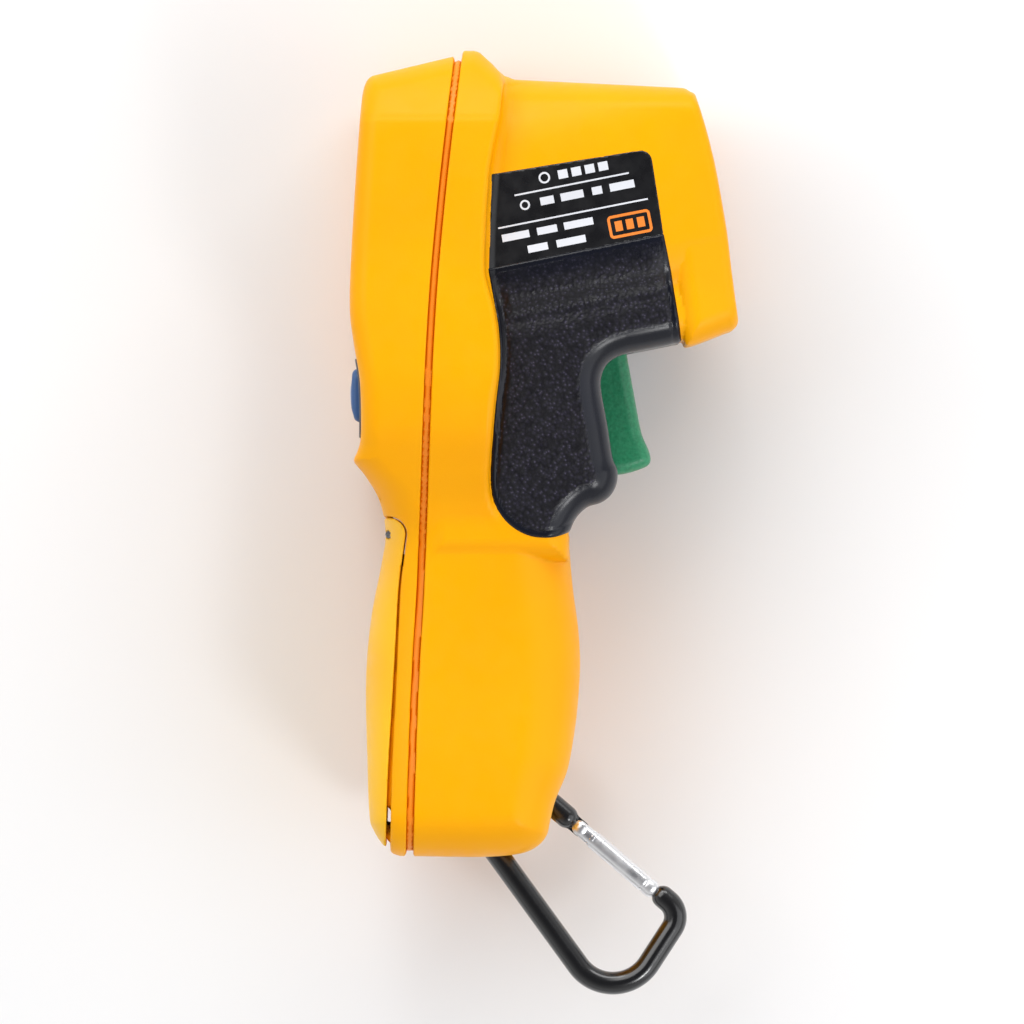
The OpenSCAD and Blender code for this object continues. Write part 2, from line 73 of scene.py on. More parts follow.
WALL = 2.6
GROOVE_W = 1.6
GROOVE_D = 1.2
GRIP_T = 1.5
AIM_TILT = math.radians(10.4)
MUZZLE = (37.4, 69.4)
DISPLAY_TILT = math.radians(-3.5)
DISPLAY = (-41.3, 67)
DOOR_AXIS = (-33.7, -2.1)
DOOR_R = 3.9
DOOR_GAP = 0.28
BAR = (-5.0, -65.6)
BAR_R = 5.1
SLOT_R = 11.0
SLOT_HALF = 3.3
TRIGGER_HALF = 7.0
BARREL_R = 14.4
LASER_R = 3.0
# Rounded openings: half height, half width and corner radius
MOUTH = (18, 23.8, 8)
WINDOW = (17.3, 22.3, 5)
SIGHT = (15.5, 20.5, 4)
KEYPAD = (8.85, 25.2, 4)
KEY_PITCH = 15.6
KEY_Y = 28.1
KEYPAD_Y = 27.4
LASER_OFFSET = 19.3
# Screw pairs: height, distance to each side, depth of the head's seat, depth of its recess
SCREWS = ((90.4, 27.2, -21.2, 8), (8.3, 18.1, -26.4, 8), (-63.6, 18.8, -29.4, 3.6))
BOSS_R = 4.2
TRIGGER_PIN = (12.5, 43)
TRIGGER_PIN_R = 1.25


# ---- curves and outlines ------------------------------------------------------------------------

def smooth(points, n=8):
    """A smooth line through the points, with n pieces between neighbours."""
    p = np.asarray(points, float)
    ends = np.vstack([p[:1], p, p[-1:]])
    t = np.arange(n)[:, None] / n
    rows = []
    for a, b, c, d in zip(ends, ends[1:], ends[2:], ends[3:]):
        rows.append(0.5 * (2 * b + (c - a) * t + (2 * a - 5 * b + 4 * c - d) * t ** 2
                           + (3 * b - a - 3 * c + d) * t ** 3))
    return np.vstack(rows + [p[-1:]])


def arc(centre, r, a0, a1, n):
    a = np.radians(np.linspace(a0, a1, n + 1))
    return np.column_stack([centre[0] + r * np.cos(a), centre[1] + r * np.sin(a)])


REAR_EDGE = smooth([(-37.4, 97.2), (-38.6, 95.8), (-39.5, 91.9), (-40.6, 78), (-41.7, 60),
                    (-42.1, 47), (-41.2, 39), (-39.9, 31), (-39.7, 20), (-40.3, 16.4),
                    (-41.3, 14), (-40.4, 12.6), (-38.4, 10), (-35.7, 5), (-34.5, -1.5),
                    (-35.3, -8), (-37.7, -20.5), (-38.8, -34), (-38.5, -50), (-38, -63),
                    (-37, -66.5), (-35, -69.6), (-33, -71.4)])
TOP_EDGE = [(-8.6, 96.9), (-11.2, 99.8), (-14, 102.4), (-15, 102.8), (-17.4, 102.8), (-18.2, 102.2),
            (-19.4, 101.6)]
PANEL_EDGE = smooth([(-11.8, 76.4), (-12.6, 65), (-12.8, 55.4), (-12.2, 52), (-10.9, 47),
                     (-10, 41), (-9.9, 34), (-10.7, 27), (-11.4, 19.4), (-11.9, 12.5),
                     (-11.9, 8.5), (-11.2, 5), (-9.8, 2.3), (-7.6, -0.2), (-4.8, -2),
                     (-1.8, -2.9), (2, -2.9), (5.2, -1.9), (7.5, -0.7)])
GRIP_FRONT = smooth([(5.3, -8), (5.3, -1.9), (5.9, 0.3), (7.2, 2.4), (9.3, 4.2), (12.1, 5.1),
                     (14.2, 6.7), (15.4, 9.1), (15.5, 12), (14.5, 14.6), (13.3, 22),
                     (12.1, 28.5), (12, 31.8), (13.1, 34.7), (15.4, 36.6), (18.4, 37.7)])
HANDLE_FRONT = smooth([(-29.2, -72), (-14, -72.2), (-6, -71.6), (-2, -70.2), (0.5, -67.6),
                       (1.3, -64.4), (2.4, -60), (5, -53.5), (6.3, -47), (7.2, -40.4),
                       (7.8, -32), (7.7, -26), (7.2, -20.7), (6.3, -14.2), (5.7, -7.6),
                       (5.6, -2.6), (8, 4), (16, 20)])
NOSE_FRONT = smooth([(30.6, 38.9), (32.4, 39.1), (39.2, 41.7), (41.5, 43), (42.1, 44.8),
                     (41.7, 47), (40.6, 55), (39.7, 62.6), (38.4, 70.5), (36.9, 78.4),
                     (35, 86), (33.2, 91.8), (32.6, 93.6), (31.4, 94.5)])
GROOVE = smooth([(-18.9, 106), (-23, 71), (-25.5, 40), (-27.4, -8), (-29, -38), (-30.2, -76)])
SEAM = smooth([(-33.5, -80), (-33.4, -68), (-33, -52), (-32.3, -38), (-31.8, -27),
               (-31.2, -14), (-30.4, -7)])


def groove_at(y):
    """Where the recessed line's rear side lies at height y."""
    return np.interp(y, GROOVE[::-1, 1], GROOVE[::-1, 0])


def polygon_distance(x, y, outline):
    """Signed distance from each point to a closed outline, negative inside."""
    best = np.full(x.shape, 1e9)
    inside = np.zeros(x.shape, bool)
    for (ax, ay), (bx, by) in zip(outline, np.roll(outline, -1, axis=0)):
        ex, ey = bx - ax, by - ay
        if ex * ex + ey * ey < 1e-12:
            continue
        t = np.clip(((x - ax) * ex + (y - ay) * ey) / (ex * ex + ey * ey), 0, 1)
        best = np.minimum(best, (x - ax - t * ex) ** 2 + (y - ay - t * ey) ** 2)
        if ay != by:
            crosses = (ay > y) != (by > y)
            inside ^= crosses & (x < ax + (y - ay) * ex / ey)
    return np.where(inside, -1, 1) * np.sqrt(best)


class Profile:
    """Signed distance to an outline in the side view, read from a fine table."""

    step = 0.4

    def __init__(self, outline, margin=14):
        outline = np.asarray(outline, float)
        self.low = outline.min(0) - margin
        count = np.ceil((outline.max(0) + margin - self.low) / self.step).astype(int) + 1
        xs = self.low[0] + self.step * np.arange(count[0])
        ys = self.low[1] + self.step * np.arange(count[1])
        self.table = polygon_distance(xs[:, None] + 0 * ys[None], 0 * xs[:, None] + ys[None],
                                      outline)

    def __call__(self, x, y):
        u = np.clip((x - self.low[0]) / self.step, 0, self.table.shape[0] - 1.001)
        v = np.clip((y - self.low[1]) / self.step, 0, self.table.shape[1] - 1.001)
        i, j = u.astype(int), v.astype(int)
        u, v = u - i, v - j
        t = self.table
        return ((t[i, j] * (1 - u) + t[i + 1, j] * u) * (1 - v)
                + (t[i, j + 1] * (1 - u) + t[i + 1, j + 1] * u) * v)


# The side view: the yellow head and handle, its front limit, and the barrel with the grip
MAIN = Profile(np.vstack([REAR_EDGE, [(-31.5, -72)], HANDLE_FRONT,
                          [(60, 30), (60, 110), (-12, 110), (-6, 99)], TOP_EDGE]))
FRONT_LIMIT = Profile(np.vstack([[(-80, -110), (60, -110), (60, 8)], PANEL_EDGE[::-1],
                                 [(-10.9, 81.8), (-9.6, 87.7), (-8.7, 96), (-8.5, 120),
                                  (-80, 120)]]))
FORE = Profile(np.vstack([[(-26, -8)], GRIP_FRONT, [(30.6, 40.1), (60, 48), (60, 93.2),
                                                    (-8.3, 96.7), (-26, 97.2)]]))
MUZZLE_LIMIT = Profile(np.vstack([[(-80, -20), (50, -20), (42.5, 41.2)], NOSE_FRONT[40:-3],
                                  [(31.2, 99), (29, 120), (-80, 120)]]))
NOSE = Profile(np.vstack([[(24.4, 95), (23.6, 88), (23.2, 81), (26.2, 64), (28, 53), (29.4, 44)],
                          NOSE_FRONT[:17], [(60, 48.6), (60, 93.2), (31.5, 94.6), (25, 94.9)]]))
BLACK = Profile(np.vstack([PANEL_EDGE[::-1][:-32], [(-12.5, 55.7), (26, 63.3), (27.7, 54.8),
                                                   (29.4, 44.3), (29.9, 40.4), (30.2, 30),
                                                   (24, 24), (24, 0), (9, -0.3)]]))
LABEL = Profile(np.vstack([[(-11.6, 76)], arc((20.9, 78.6), 2.6, 102, 10, 6),
                           [(26, 62.7), (-12.2, 55)]]))
DOOR = Profile(np.vstack([[(-60, -80)], SEAM, arc(DOOR_AXIS, DOOR_R, -12, 180, 30),
                          [(-60, DOOR_AXIS[1])]]))


def along(y, points):
    """A smooth width that changes with height."""
    line = smooth(points, 10)
    return np.interp(y, line[:, 0], line[:, 1])


MAIN_HALF = [(-75, 18), (-73, 20.2), (-70, 22.8), (-64, 24.6), (-52, 24.6), (-34, 23),
             (-18, 22.3), (-4, 23.4), (4, 26), (12, 30.5), (21, 35), (31, 37.2), (40, 37.5),
             (60, 37.5), (78, 37.5), (86, 37.5), (88, 37.2), (90, 36.4),
             (95, 33.6), (100, 30), (104, 26)]
FORE_HALF = [(-10, 23.4), (-2, 24.4), (8, 25.4), (20, 26.8), (32, 28.2), (40, 29), (44, 29.2),
             (47, 28.9), (49, 29.3), (52, 30.8), (56, 31.8), (60, 32), (76, 32), (86, 31.6),
             (92, 29.6), (98, 26)]
NOSE_HALF = [(20, 29.4), (40, 30.6), (50, 31.4), (56, 31.8), (60, 32), (76, 32), (86, 31.6),
             (92, 29.6), (98, 26)]
MAIN_ROUND = [(-75, 7), (-66, 9), (-40, 13), (-8, 12.5), (6, 8), (16, 5), (30, 4.2), (110, 4)]


# ---- putting distance fields together -----------------------------------------------------------

def cut(a, b, r):
    """The part of a that is also in b, with the edge between them rounded to r."""
    return (np.minimum(np.maximum(a, b), -r)
            + np.hypot(np.maximum(a + r, 0), np.maximum(b + r, 0)))


def join(a, b, r):
    """a and b together, with the corner between them filled to r."""
    return (np.maximum(np.minimum(a, b), r)
            - np.hypot(np.maximum(r - a, 0), np.maximum(r - b, 0)))


def all_of(*fields):
    """What lies in every one of the fields."""
    return functools.reduce(np.maximum, fields)


def any_of(*fields):
    """What lies in at least one of the fields."""
    return functools.reduce(np.minimum, fields)


def ramp(t, start, end):
    """0 before start, 1 past end, and a soft step between."""
    t = np.clip((t - start) / (end - start), 0, 1)
    return t * t * (3 - 2 * t)


def slope_height(x, y):
    """Height measured square to the barrel's slope, turning to plain height in the grip."""
    return y - 0.19 * (x - 8) * ramp(y, 30, 46)


def taper(x):
    """How far each side of the barrel draws in towards the muzzle."""
    return 0.05 * np.maximum(x - 8, 0) + 0.003 * np.maximum(x - 16, 0) ** 2


def main_body(x, y, w):
    half = along(y, MAIN_HALF)
    side = (np.abs(w) - half) * 0.97
    body = cut(MAIN(x, y), side, along(y, MAIN_ROUND))
    return cut(body, FRONT_LIMIT(x, y), 1.4)


def fore_body(x, y, w, halves=FORE_HALF, profile=FORE, r=5.0):
    side = (np.abs(w) - along(slope_height(x, y), halves) + taper(x)) * 0.97
    return cut(cut(profile(x, y), side, r), MUZZLE_LIMIT(x, y), 1.8)


def nose_body(x, y, w):
    return fore_body(x, y, w, NOSE_HALF, NOSE, 5.0)


def case(x, y, w):
    """The whole closed case, as if it were one solid."""
    fore = np.minimum(fore_body(x, y, w), nose_body(x, y, w))
    return join(main_body(x, y, w), fore, 0.4 + 2.2 * ramp(y, 6, 50))


def rod_z(x, y, w, at, r, half):
    """A round bar across the case, centred on the middle plane."""
    return all_of(np.hypot(x - at[0], y - at[1]) - r, np.abs(w) - half)


def both_sides(w, w0):
    """Folds the right side onto the left, so that one shape serves for both."""
    return np.abs(w) - w0


def pair(a, w, a0, w0, r):
    """Two round bars, one on each side of the middle plane."""
    return np.hypot(a - a0, both_sides(w, w0)) - r


def rounded_box(a, b, half_a, half_b, r):
    """Distance to a rounded rectangle in the plane of a and b."""
    p, q = np.abs(a) - half_a + r, np.abs(b) - half_b + r
    return np.hypot(np.maximum(p, 0), np.maximum(q, 0)) + np.minimum(np.maximum(p, q), 0) - r


def local(x, y, origin, angle):
    """x and y seen from a frame at origin, turned by angle."""
    dx, dy = x - origin[0], y - origin[1]
    c, s = math.cos(angle), math.sin(angle)
    return dx * c + dy * s, dy * c - dx * s


def hook_room(x, y, w):
    """The slot round the strap bar, open to the front and the bottom."""
    r = np.hypot(x - BAR[0], y - BAR[1])
    field = r - SLOT_R
    for degrees in (-91, -20):
        u, v = local(x, y, BAR, math.radians(degrees))
        field = any_of(field, all_of(-u, np.abs(v) - SLOT_R))
    return cut(cut(field, np.abs(w) - SLOT_HALF, 0.1), BAR_R - r, 0.1)


TRIGGER_ROOM = Profile([(-3, 9.6), (17.6, 9.6), (17.2, 30), (19, 36.4), (19, 43.5), (-3, 43.5)])


def trigger_room(x, y, w):
    return all_of(TRIGGER_ROOM(x, y), np.abs(w) - TRIGGER_HALF - 0.5)


def front_housing(x, y, w):
    outer = case(x, y, w)
    u, v = local(x, y, MUZZLE, AIM_TILT)
    # What stands inside the shell
    bosses = any_of(*(pair(y, w, y0, w0, BOSS_R) for y0, w0, seat, recess in SCREWS))
    bosses = all_of(bosses, x - groove_at(y) - GROOVE_W - 11)
    slot_walls = rod_z(x, y, w, BAR, SLOT_R + 1.9, SLOT_HALF + 2)
    bulkhead = all_of(np.abs(u + 21.75) - 1.25, -(v + 24))
    trigger_lugs = all_of(np.hypot(x - 12.5, y - 41) - 4.6, np.abs(np.abs(w) - 9.6) - 1.6)
    spring_rib = all_of(np.abs(x + 5.5) - 0.9, np.abs(y - 15.9) - 4.5)
    inside = any_of(bosses, slot_walls, bulkhead, trigger_lugs, spring_rib)
    shell = any_of(all_of(outer, -(outer + WALL)), all_of(inside, outer + 2.0))
    # The mating edge and the muzzle
    shell = cut(shell, groove_at(y) + GROOVE_W - x, 0.35)
    shell = cut(shell, -all_of(rounded_box(v, w, *MOUTH), -(u + 8)), 0.8)
    bores = any_of(np.hypot(v, w) - BARREL_R - 0.2,
                   pair(v, w, 0, LASER_OFFSET, LASER_R + 0.25))
    shell = all_of(shell, -all_of(bores, u + 10, -30 - u))
    # Room for the trigger, the screws, the trigger's pin and the hook
    shell = all_of(shell, 1.2 - trigger_room(x, y, w))
    for y0, w0, seat, recess in SCREWS:
        shell = all_of(shell, -all_of(pair(y, w, y0, w0, 1.3), x - seat - 9))
    shell = all_of(shell, -rod_z(x, y, w, TRIGGER_PIN, TRIGGER_PIN_R, 11.4))
    return cut(shell, -hook_room(x, y, w), 0.5)


def rear_cover(x, y, w):
    outer = case(x, y, w)
    shell = all_of(outer, -(outer + WALL))
    # Screw bosses, and posts for the main board
    for y0, w0, seat, recess in SCREWS:
        length = seat - 3.7 - x if y0 < 0 else seat - 18 - x
        shell = any_of(shell, all_of(pair(y, w, y0, w0, BOSS_R), length, outer + 1.2))
    u, v = local(x, y, DISPLAY, DISPLAY_TILT)
    for at in (22.4, -51.4):
        shell = any_of(shell, all_of(pair(v, w, at, 18, 2.6), u - 9.9, outer + 1.2))
    # The battery opening, the lip its door rests on, and the door's lugs
    lug = np.hypot(x - DOOR_AXIS[0], y - DOOR_AXIS[1]) - 2
    arm = all_of(np.abs(x + 34.6 + 0.16 * (y + 2)) - 1.8, np.abs(y - 3) - 5.1)
    lugs = all_of(any_of(lug, arm), np.abs(np.abs(w) - 10) - 1.5)
    shell = cut(shell, -DOOR(x, y), 0.4)
    lip = all_of(outer + 1.45, -(outer + 3.2), -2.8 - DOOR(x, y), DOOR(x, y) - 1.2, y + 9)
    shell = any_of(shell, lip, all_of(lugs, outer + 0.5))
    # The mating edge, the display's window and the keypad's opening
    shell = cut(shell, x - groove_at(y), 0.35)
    shell = cut(shell, -all_of(rounded_box(v, w, *WINDOW), u - 2.1), 0.7)
    shell = all_of(shell, -all_of(rounded_box(v, w, *SIGHT), u - 6))
    shell = cut(shell, -all_of(rounded_box(y - KEYPAD_Y, w, *KEYPAD), x + 33), 0.6)
    for y0, w0, seat, recess in SCREWS:
        shell = all_of(shell, -pair(y, w, y0, w0, 1.6))
        shell = cut(shell, -all_of(pair(y, w, y0, w0, 2.9), x - seat + recess - 2), 0.4)
    return all_of(shell, -rod_z(x, y, w, DOOR_AXIS, 0.8, 16.4))


def parting_seal(x, y, w):
    outer = case(x, y, w)
    band = np.abs(x - groove_at(y) - GROOVE_W / 2) - GROOVE_W / 2
    return all_of(outer + GROOVE_D, -(outer + 3), band, -hook_room(x, y, w))


def ridges(x, y):
    """A soft swell across the grip under the label and the fold below it, both following
    the barrel's slope."""
    h = slope_height(x, y)
    swell = 0.6 * np.exp(-((h - 52) / 2.8) ** 2) - 0.1 * np.exp(-((h - 45.2) / 2.6) ** 2)
    return swell * ramp(-BLACK(x, y), 1.6, 4)


def grip_wrap(x, y, w):
    """Black overmould. Its skin rises out of the case along a smooth raised rim, with a thin
    line inside the rim; the textured field inside swells under the label."""
    outer = case(x, y, w)
    limit = BLACK(x, y)
    rise = -0.6 + 0.95 * ramp(-limit, -0.5, 0.75)
    line = -0.22 * np.exp(-((limit + 1.8) / 0.42) ** 2)
    line = line * (1 - ramp(slope_height(x, y), 49, 51.5))
    lean = np.clip(np.abs(w) / 26, 0, 1) ** 6
    rise = rise + line * lean + ridges(x, y) * lean
    skin = all_of(outer - rise, limit - 0.5, -(outer + GRIP_T - 0.05), groove_at(y) + 3 - x)
    return cut(skin, -trigger_room(x, y, w), 0.9)


def battery_door(x, y, w):
    outer = case(x, y, w)
    gap = DOOR_GAP * (1 - y / 28) * (y < 0) + DOOR_GAP * (y >= 0)
    area = DOOR(x, y) + gap
    thick = 2.3 - 1.15 * ramp(DOOR(x, y), -3.8, -3.2)
    shell = cut(all_of(outer, -(outer + thick)), area, 0.4)
    from_axis = np.hypot(x - DOOR_AXIS[0], y - DOOR_AXIS[1])
    tail = all_of(np.abs(x + 34.9) - 1.5, np.abs(y + 5) - 3.4)
    knuckles = all_of(any_of(from_axis - 2.1, tail), np.abs(np.abs(w) - 14) - 2)
    shell = any_of(shell, all_of(knuckles, outer + 0.15, area))
    lug_notches = all_of(from_axis - 4.4, np.abs(np.abs(w) - 10) - 1.8)
    return all_of(shell, -lug_notches, -rod_z(x, y, w, DOOR_AXIS, 0.85, 16.8))


TRIGGER = Profile(np.vstack([[(12.5, 46.4), (16, 44)],
                             smooth([(18, 37.2), (19.25, 30.3), (20.9, 21.4), (21.6, 18.9),
                                     (22.8, 16.2), (23.2, 14.4), (22.8, 13.1), (21.2, 12.2),
                                     (18, 11.2), (15, 10.8)]),
                             [(9, 11), (6, 14), (5.4, 27), (8, 40), (9, 43)]]))


def trigger(x, y, w):
    body = cut(TRIGGER(x, y), np.abs(w) - TRIGGER_HALF, 2.6)
    from_pin = np.hypot(x - TRIGGER_PIN[0], y - TRIGGER_PIN[1])
    upper = any_of(all_of(TRIGGER(x, y), 37.4 - y), from_pin - 3.5)
    body = any_of(body, all_of(upper, np.abs(w) - TRIGGER_HALF))
    pocket = all_of(np.hypot(np.maximum(np.abs(y - 15.6) - 1.3, 0), w) - 3, x - 8)
    return all_of(body, TRIGGER_PIN_R + 0.05 - from_pin, -pocket)


# ---- meshes -------------------------------------------------------------------------------------

def ids_of_quads(cells, sign, axis):
    """Quads round every grid edge along axis whose two ends differ in sign."""
    n = sign.shape
    lo = [slice(1, n[a] - 1) for a in range(3)]
    first, second = list(lo), list(lo)
    first[axis], second[axis] = slice(0, n[axis] - 1), slice(1, n[axis])
    a, b = sign[tuple(first)], sign[tuple(second)]
    hit = np.argwhere(a != b)
    if not len(hit):
        return np.zeros((0, 4), int)
    rising = a[tuple(hit.T)]
    offset = np.ones(3, int)
    offset[axis] = 0
    at = hit + offset
    p, q = [k for k in range(3) if k != axis]
    corners = []
    for dp, dq in ((1, 1), (0, 1), (0, 0), (1, 0)):
        c = at.copy()
        c[:, p] -= dp
        c[:, q] -= dq
        corners.append(cells[tuple(c.T)])
    quads = np.column_stack(corners)
    flip = rising if axis != 1 else ~rising
    quads[~flip] = quads[~flip][:, ::-1]
    return quads


def field_mesh(name, f, xs, ys, ws, shear=None, steps=3):
    """A smooth mesh where f is zero. shear(y) shifts each row, so that a curved seam runs
    along the grid. Every point is moved onto the surface, and its normal kept for shading."""
    shift = shear(ys) if shear is not None else np.zeros(len(ys))
    gx = xs[:, None, None] + shift[None, :, None]
    gy, gw = ys[None, :, None], ws[None, None, :]
    value = f(gx, gy, gw).astype(np.float32)
    value = np.broadcast_to(value, (len(xs), len(ys), len(ws)))
    value = np.where(np.abs(value) < 1e-5, np.float32(1e-5), value)
    sign = value < 0
    total = np.zeros(tuple(np.array(sign.shape) - 1), np.int8)
    for i in (0, 1):
        for j in (0, 1):
            for k in (0, 1):
                total += sign[i:sign.shape[0] - 1 + i, j:sign.shape[1] - 1 + j,
                              k:sign.shape[2] - 1 + k]
    active = np.argwhere((total > 0) & (total < 8))
    cells = np.full(total.shape, -1, np.int64)
    cells[tuple(active.T)] = np.arange(len(active))
    corners = [(i, j, k) for i in (0, 1) for j in (0, 1) for k in (0, 1)]
    spot, level = [], []
    for c in corners:
        i, j, k = (active + c).T
        spot.append(np.column_stack([xs[i] + shift[j], ys[j], ws[k]]))
        level.append(value[i, j, k])
    point = np.zeros((len(active), 3))
    count = np.zeros(len(active))
    for a in range(8):
        for b in range(a + 1, 8):
            if sum(abs(p - q) for p, q in zip(corners[a], corners[b])) != 1:
                continue
            mixed = (level[a] < 0) != (level[b] < 0)
            t = np.where(mixed, level[a] / np.where(mixed, level[a] - level[b], 1), 0)
            crossing = spot[a] + t[:, None] * (spot[b] - spot[a])
            point[mixed] += crossing[mixed]
            count[mixed] += 1
    point /= np.maximum(count, 1)[:, None]
    h = 0.03
    tips = np.array([(1, -1, -1), (-1, -1, 1), (-1, 1, -1), (1, 1, 1)]) * h
    reach = 0.5 * (xs[-1] - xs[-2])
    for step in range(steps + 1):
        slope = np.zeros_like(point)
        for tip in tips:
            slope += tip * f(*(point + tip).T)[:, None]
        slope /= 4 * h * h
        size = np.maximum(np.linalg.norm(slope, axis=1), 0.2)
        if step == steps:
            normal = slope / size[:, None]
            break
        move = -(f(*point.T) / size ** 2)[:, None] * slope
        length = np.maximum(np.linalg.norm(move, axis=1), 1e-9)
        point += move * np.minimum(1, reach / length)[:, None]
    quads = np.vstack([ids_of_quads(cells, sign, axis) for axis in range(3)])
    quads = quads[(quads >= 0).all(1)]
    return mesh_object(name, point, quads, normal)


def mesh_object(name, points, faces, normal=None, smooth_shade=True):
    """A new object from points in millimetres, w measured from the middle plane."""
    verts = np.array(points, float) * MM
    verts[:, 2] += MID_Z * MM
    mesh = bpy.data.meshes.new(name)
    mesh.from_pydata(verts.tolist(), [], [list(map(int, q)) for q in faces])
    mesh.validate()
    mesh.update()
    if smooth_shade:
        mesh.polygons.foreach_set("use_smooth", [True] * len(mesh.polygons))
    obj = bpy.data.objects.new(name, mesh)
    bpy.context.scene.collection.objects.link(obj)
    if normal is not None and len(mesh.vertices) == len(normal):
        mesh.normals_split_custom_set_from_vertices(normal.tolist())
    return obj


def steps_between(low, high, cell, fine=()):
    """Grid places from low to high, closer together inside each fine (from, to, cell)."""
    places = list(np.arange(low, high + cell, cell))
    for start, end, size in fine:
        places = [p for p in places if p < start - size / 2 or p > end + size / 2]
        places += list(np.arange(start, end + size / 4, size))
    return np.array(sorted(places))


def case_object(name, f, x_range, fine):
    """A piece of the case as a mesh. Each row is shifted by the recessed line: x_range and the
    fine places are measured from that line."""
    return field_mesh(name, f, steps_between(*x_range, CASE_CELL, fine),
                      steps_between(*CASE_Y, CASE_CELL), steps_between(*CASE_W, CASE_CELL),
                      shear=groove_at)


def even_object(name, f, x_range, y_range, w_range, cell):
    return field_mesh(name, f, steps_between(*x_range, cell), steps_between(*y_range, cell),
                      steps_between(*w_range, cell))


class Builder:
    """Collects patches of one mesh."""

    def __init__(self):
        self.points, self.faces, self.count = [], [], 0

    def add(self, points, faces):
        self.points.append(np.asarray(points, float))
        self.faces += [tuple(int(i) + self.count for i in f) for f in faces]
        self.count += len(points)

    def grid(self, rows, close_across=True, caps=True):
        """rows: rings of points, one after another; joins them into a skin."""
        rows = np.asarray(rows, float)
        n, m = rows.shape[:2]
        faces = []
        for i in range(n - 1):
            for j in range(m if close_across else m - 1):
                k = (j + 1) % m
                faces.append((i * m + j, i * m + k, (i + 1) * m + k, (i + 1) * m + j))
        if caps:
            faces.append(tuple(range(m))[::-1])
            faces.append(tuple((n - 1) * m + j for j in range(m)))
        self.add(rows.reshape(-1, 3), faces)

    def make(self, name, smooth_shade=True, crease=35):
        obj = mesh_object(name, np.vstack(self.points), self.faces, None, smooth_shade)
        if smooth_shade:
            bpy.context.view_layer.objects.active = obj
            obj.data.set_sharp_from_angle(angle=math.radians(crease))
        return obj


def frame_point(origin, angle, u, v, w):
    """A point of a tilted frame (u along it, v up) in case coordinates."""
    c, s = math.cos(angle), math.sin(angle)
    u, v, w = np.broadcast_arrays(np.asarray(u, float), v, w)
    return np.stack([origin[0] + c * u - s * v, origin[1] + s * u + c * v, w], -1)


def ring_loop(radius, n):
    a = np.linspace(0, 2 * math.pi, n, endpoint=False)
    return radius * np.cos(a), radius * np.sin(a)


def lathe(builder, origin, angle, profile, centre=(0, 0), n=64):
    """Turns (u, radius) pairs round the frame's u axis, through centre (v, w)."""
    rows = []
    for u, r in profile:
        v, w = ring_loop(max(r, 0.001), n)
        rows.append(frame_point(origin, angle, u, centre[0] + v, centre[1] + w))
    builder.grid(rows)


def loop_plate(builder, origin, angle, sections, r_steps=10):
    """Stacks rounded rectangles: sections are (u, half_v, half_w, corner, centre_v, centre_w)."""
    rows = []
    for u, hv, hw, r, cv, cw in sections:
        v, w = [], []
        for k, (sv, sw) in enumerate(((1, 1), (-1, 1), (-1, -1), (1, -1))):
            a = np.radians(np.linspace(0, 90, r_steps) + 90 * k)
            v += list(cv + sv * (hv - r) + r * np.cos(a))
            w += list(cw + sw * (hw - r) + r * np.sin(a))
        rows.append(frame_point(origin, angle, u, np.array(v), np.array(w)))
    builder.grid(rows)


def tube(builder, path, radius, n=20):
    """A round bar along a path of points, with domed ends."""
    along_path = np.gradient(path, axis=0)
    along_path /= np.linalg.norm(along_path, axis=1)[:, None]
    side = np.cross(along_path[0], (0.0, 0.0, 1.0))
    if np.linalg.norm(side) < 0.1:
        side = np.cross(along_path[0], (0.0, 1.0, 0.0))
    rows = []
    a = np.linspace(0, 2 * math.pi, n, endpoint=False)[:, None]
    places = [(path[i], along_path[i], radius) for i in range(len(path))]
    dome = [(0.35 * radius * math.sin(t), radius * math.cos(t) ** 0.5)
            for t in np.radians((80, 60, 40, 20))]
    first, last = places[0], places[-1]
    places = ([(first[0] - first[1] * out, first[1], r) for out, r in dome] + places
              + [(last[0] + last[1] * out, last[1], r) for out, r in dome[::-1]])
    for centre, ahead, r in places:
        side = side - ahead * np.dot(side, ahead)
        side /= np.linalg.norm(side)
        other = np.cross(ahead, side)
        rows.append(centre + r * (np.cos(a) * side + np.sin(a) * other))
    builder.grid(rows)


def helix(builder, start, axis, radius, wire, turns, length, n=14):
    """A coil spring from start along axis, its end turns closed."""
    axis = np.asarray(axis, float) / np.linalg.norm(axis)
    side = np.cross(axis, (0.0, 0.0, 1.0))
    side = side / np.linalg.norm(side) if np.linalg.norm(side) > 0.1 else np.array((1.0, 0, 0))
    other = np.cross(axis, side)
    t = np.linspace(0, 1, int(turns * 28))
    closed = np.clip((t * turns - 0.9) / (turns - 1.8), 0, 1)
    rise = wire + (length - 2 * wire) * closed
    angle = (2 * math.pi * turns * t)[:, None]
    path = (np.asarray(start, float) + axis * rise[:, None]
            + radius * (np.cos(angle) * side + np.sin(angle) * other))
    tube(builder, path, wire, n)


# ---- finishes -----------------------------------------------------------------------------------

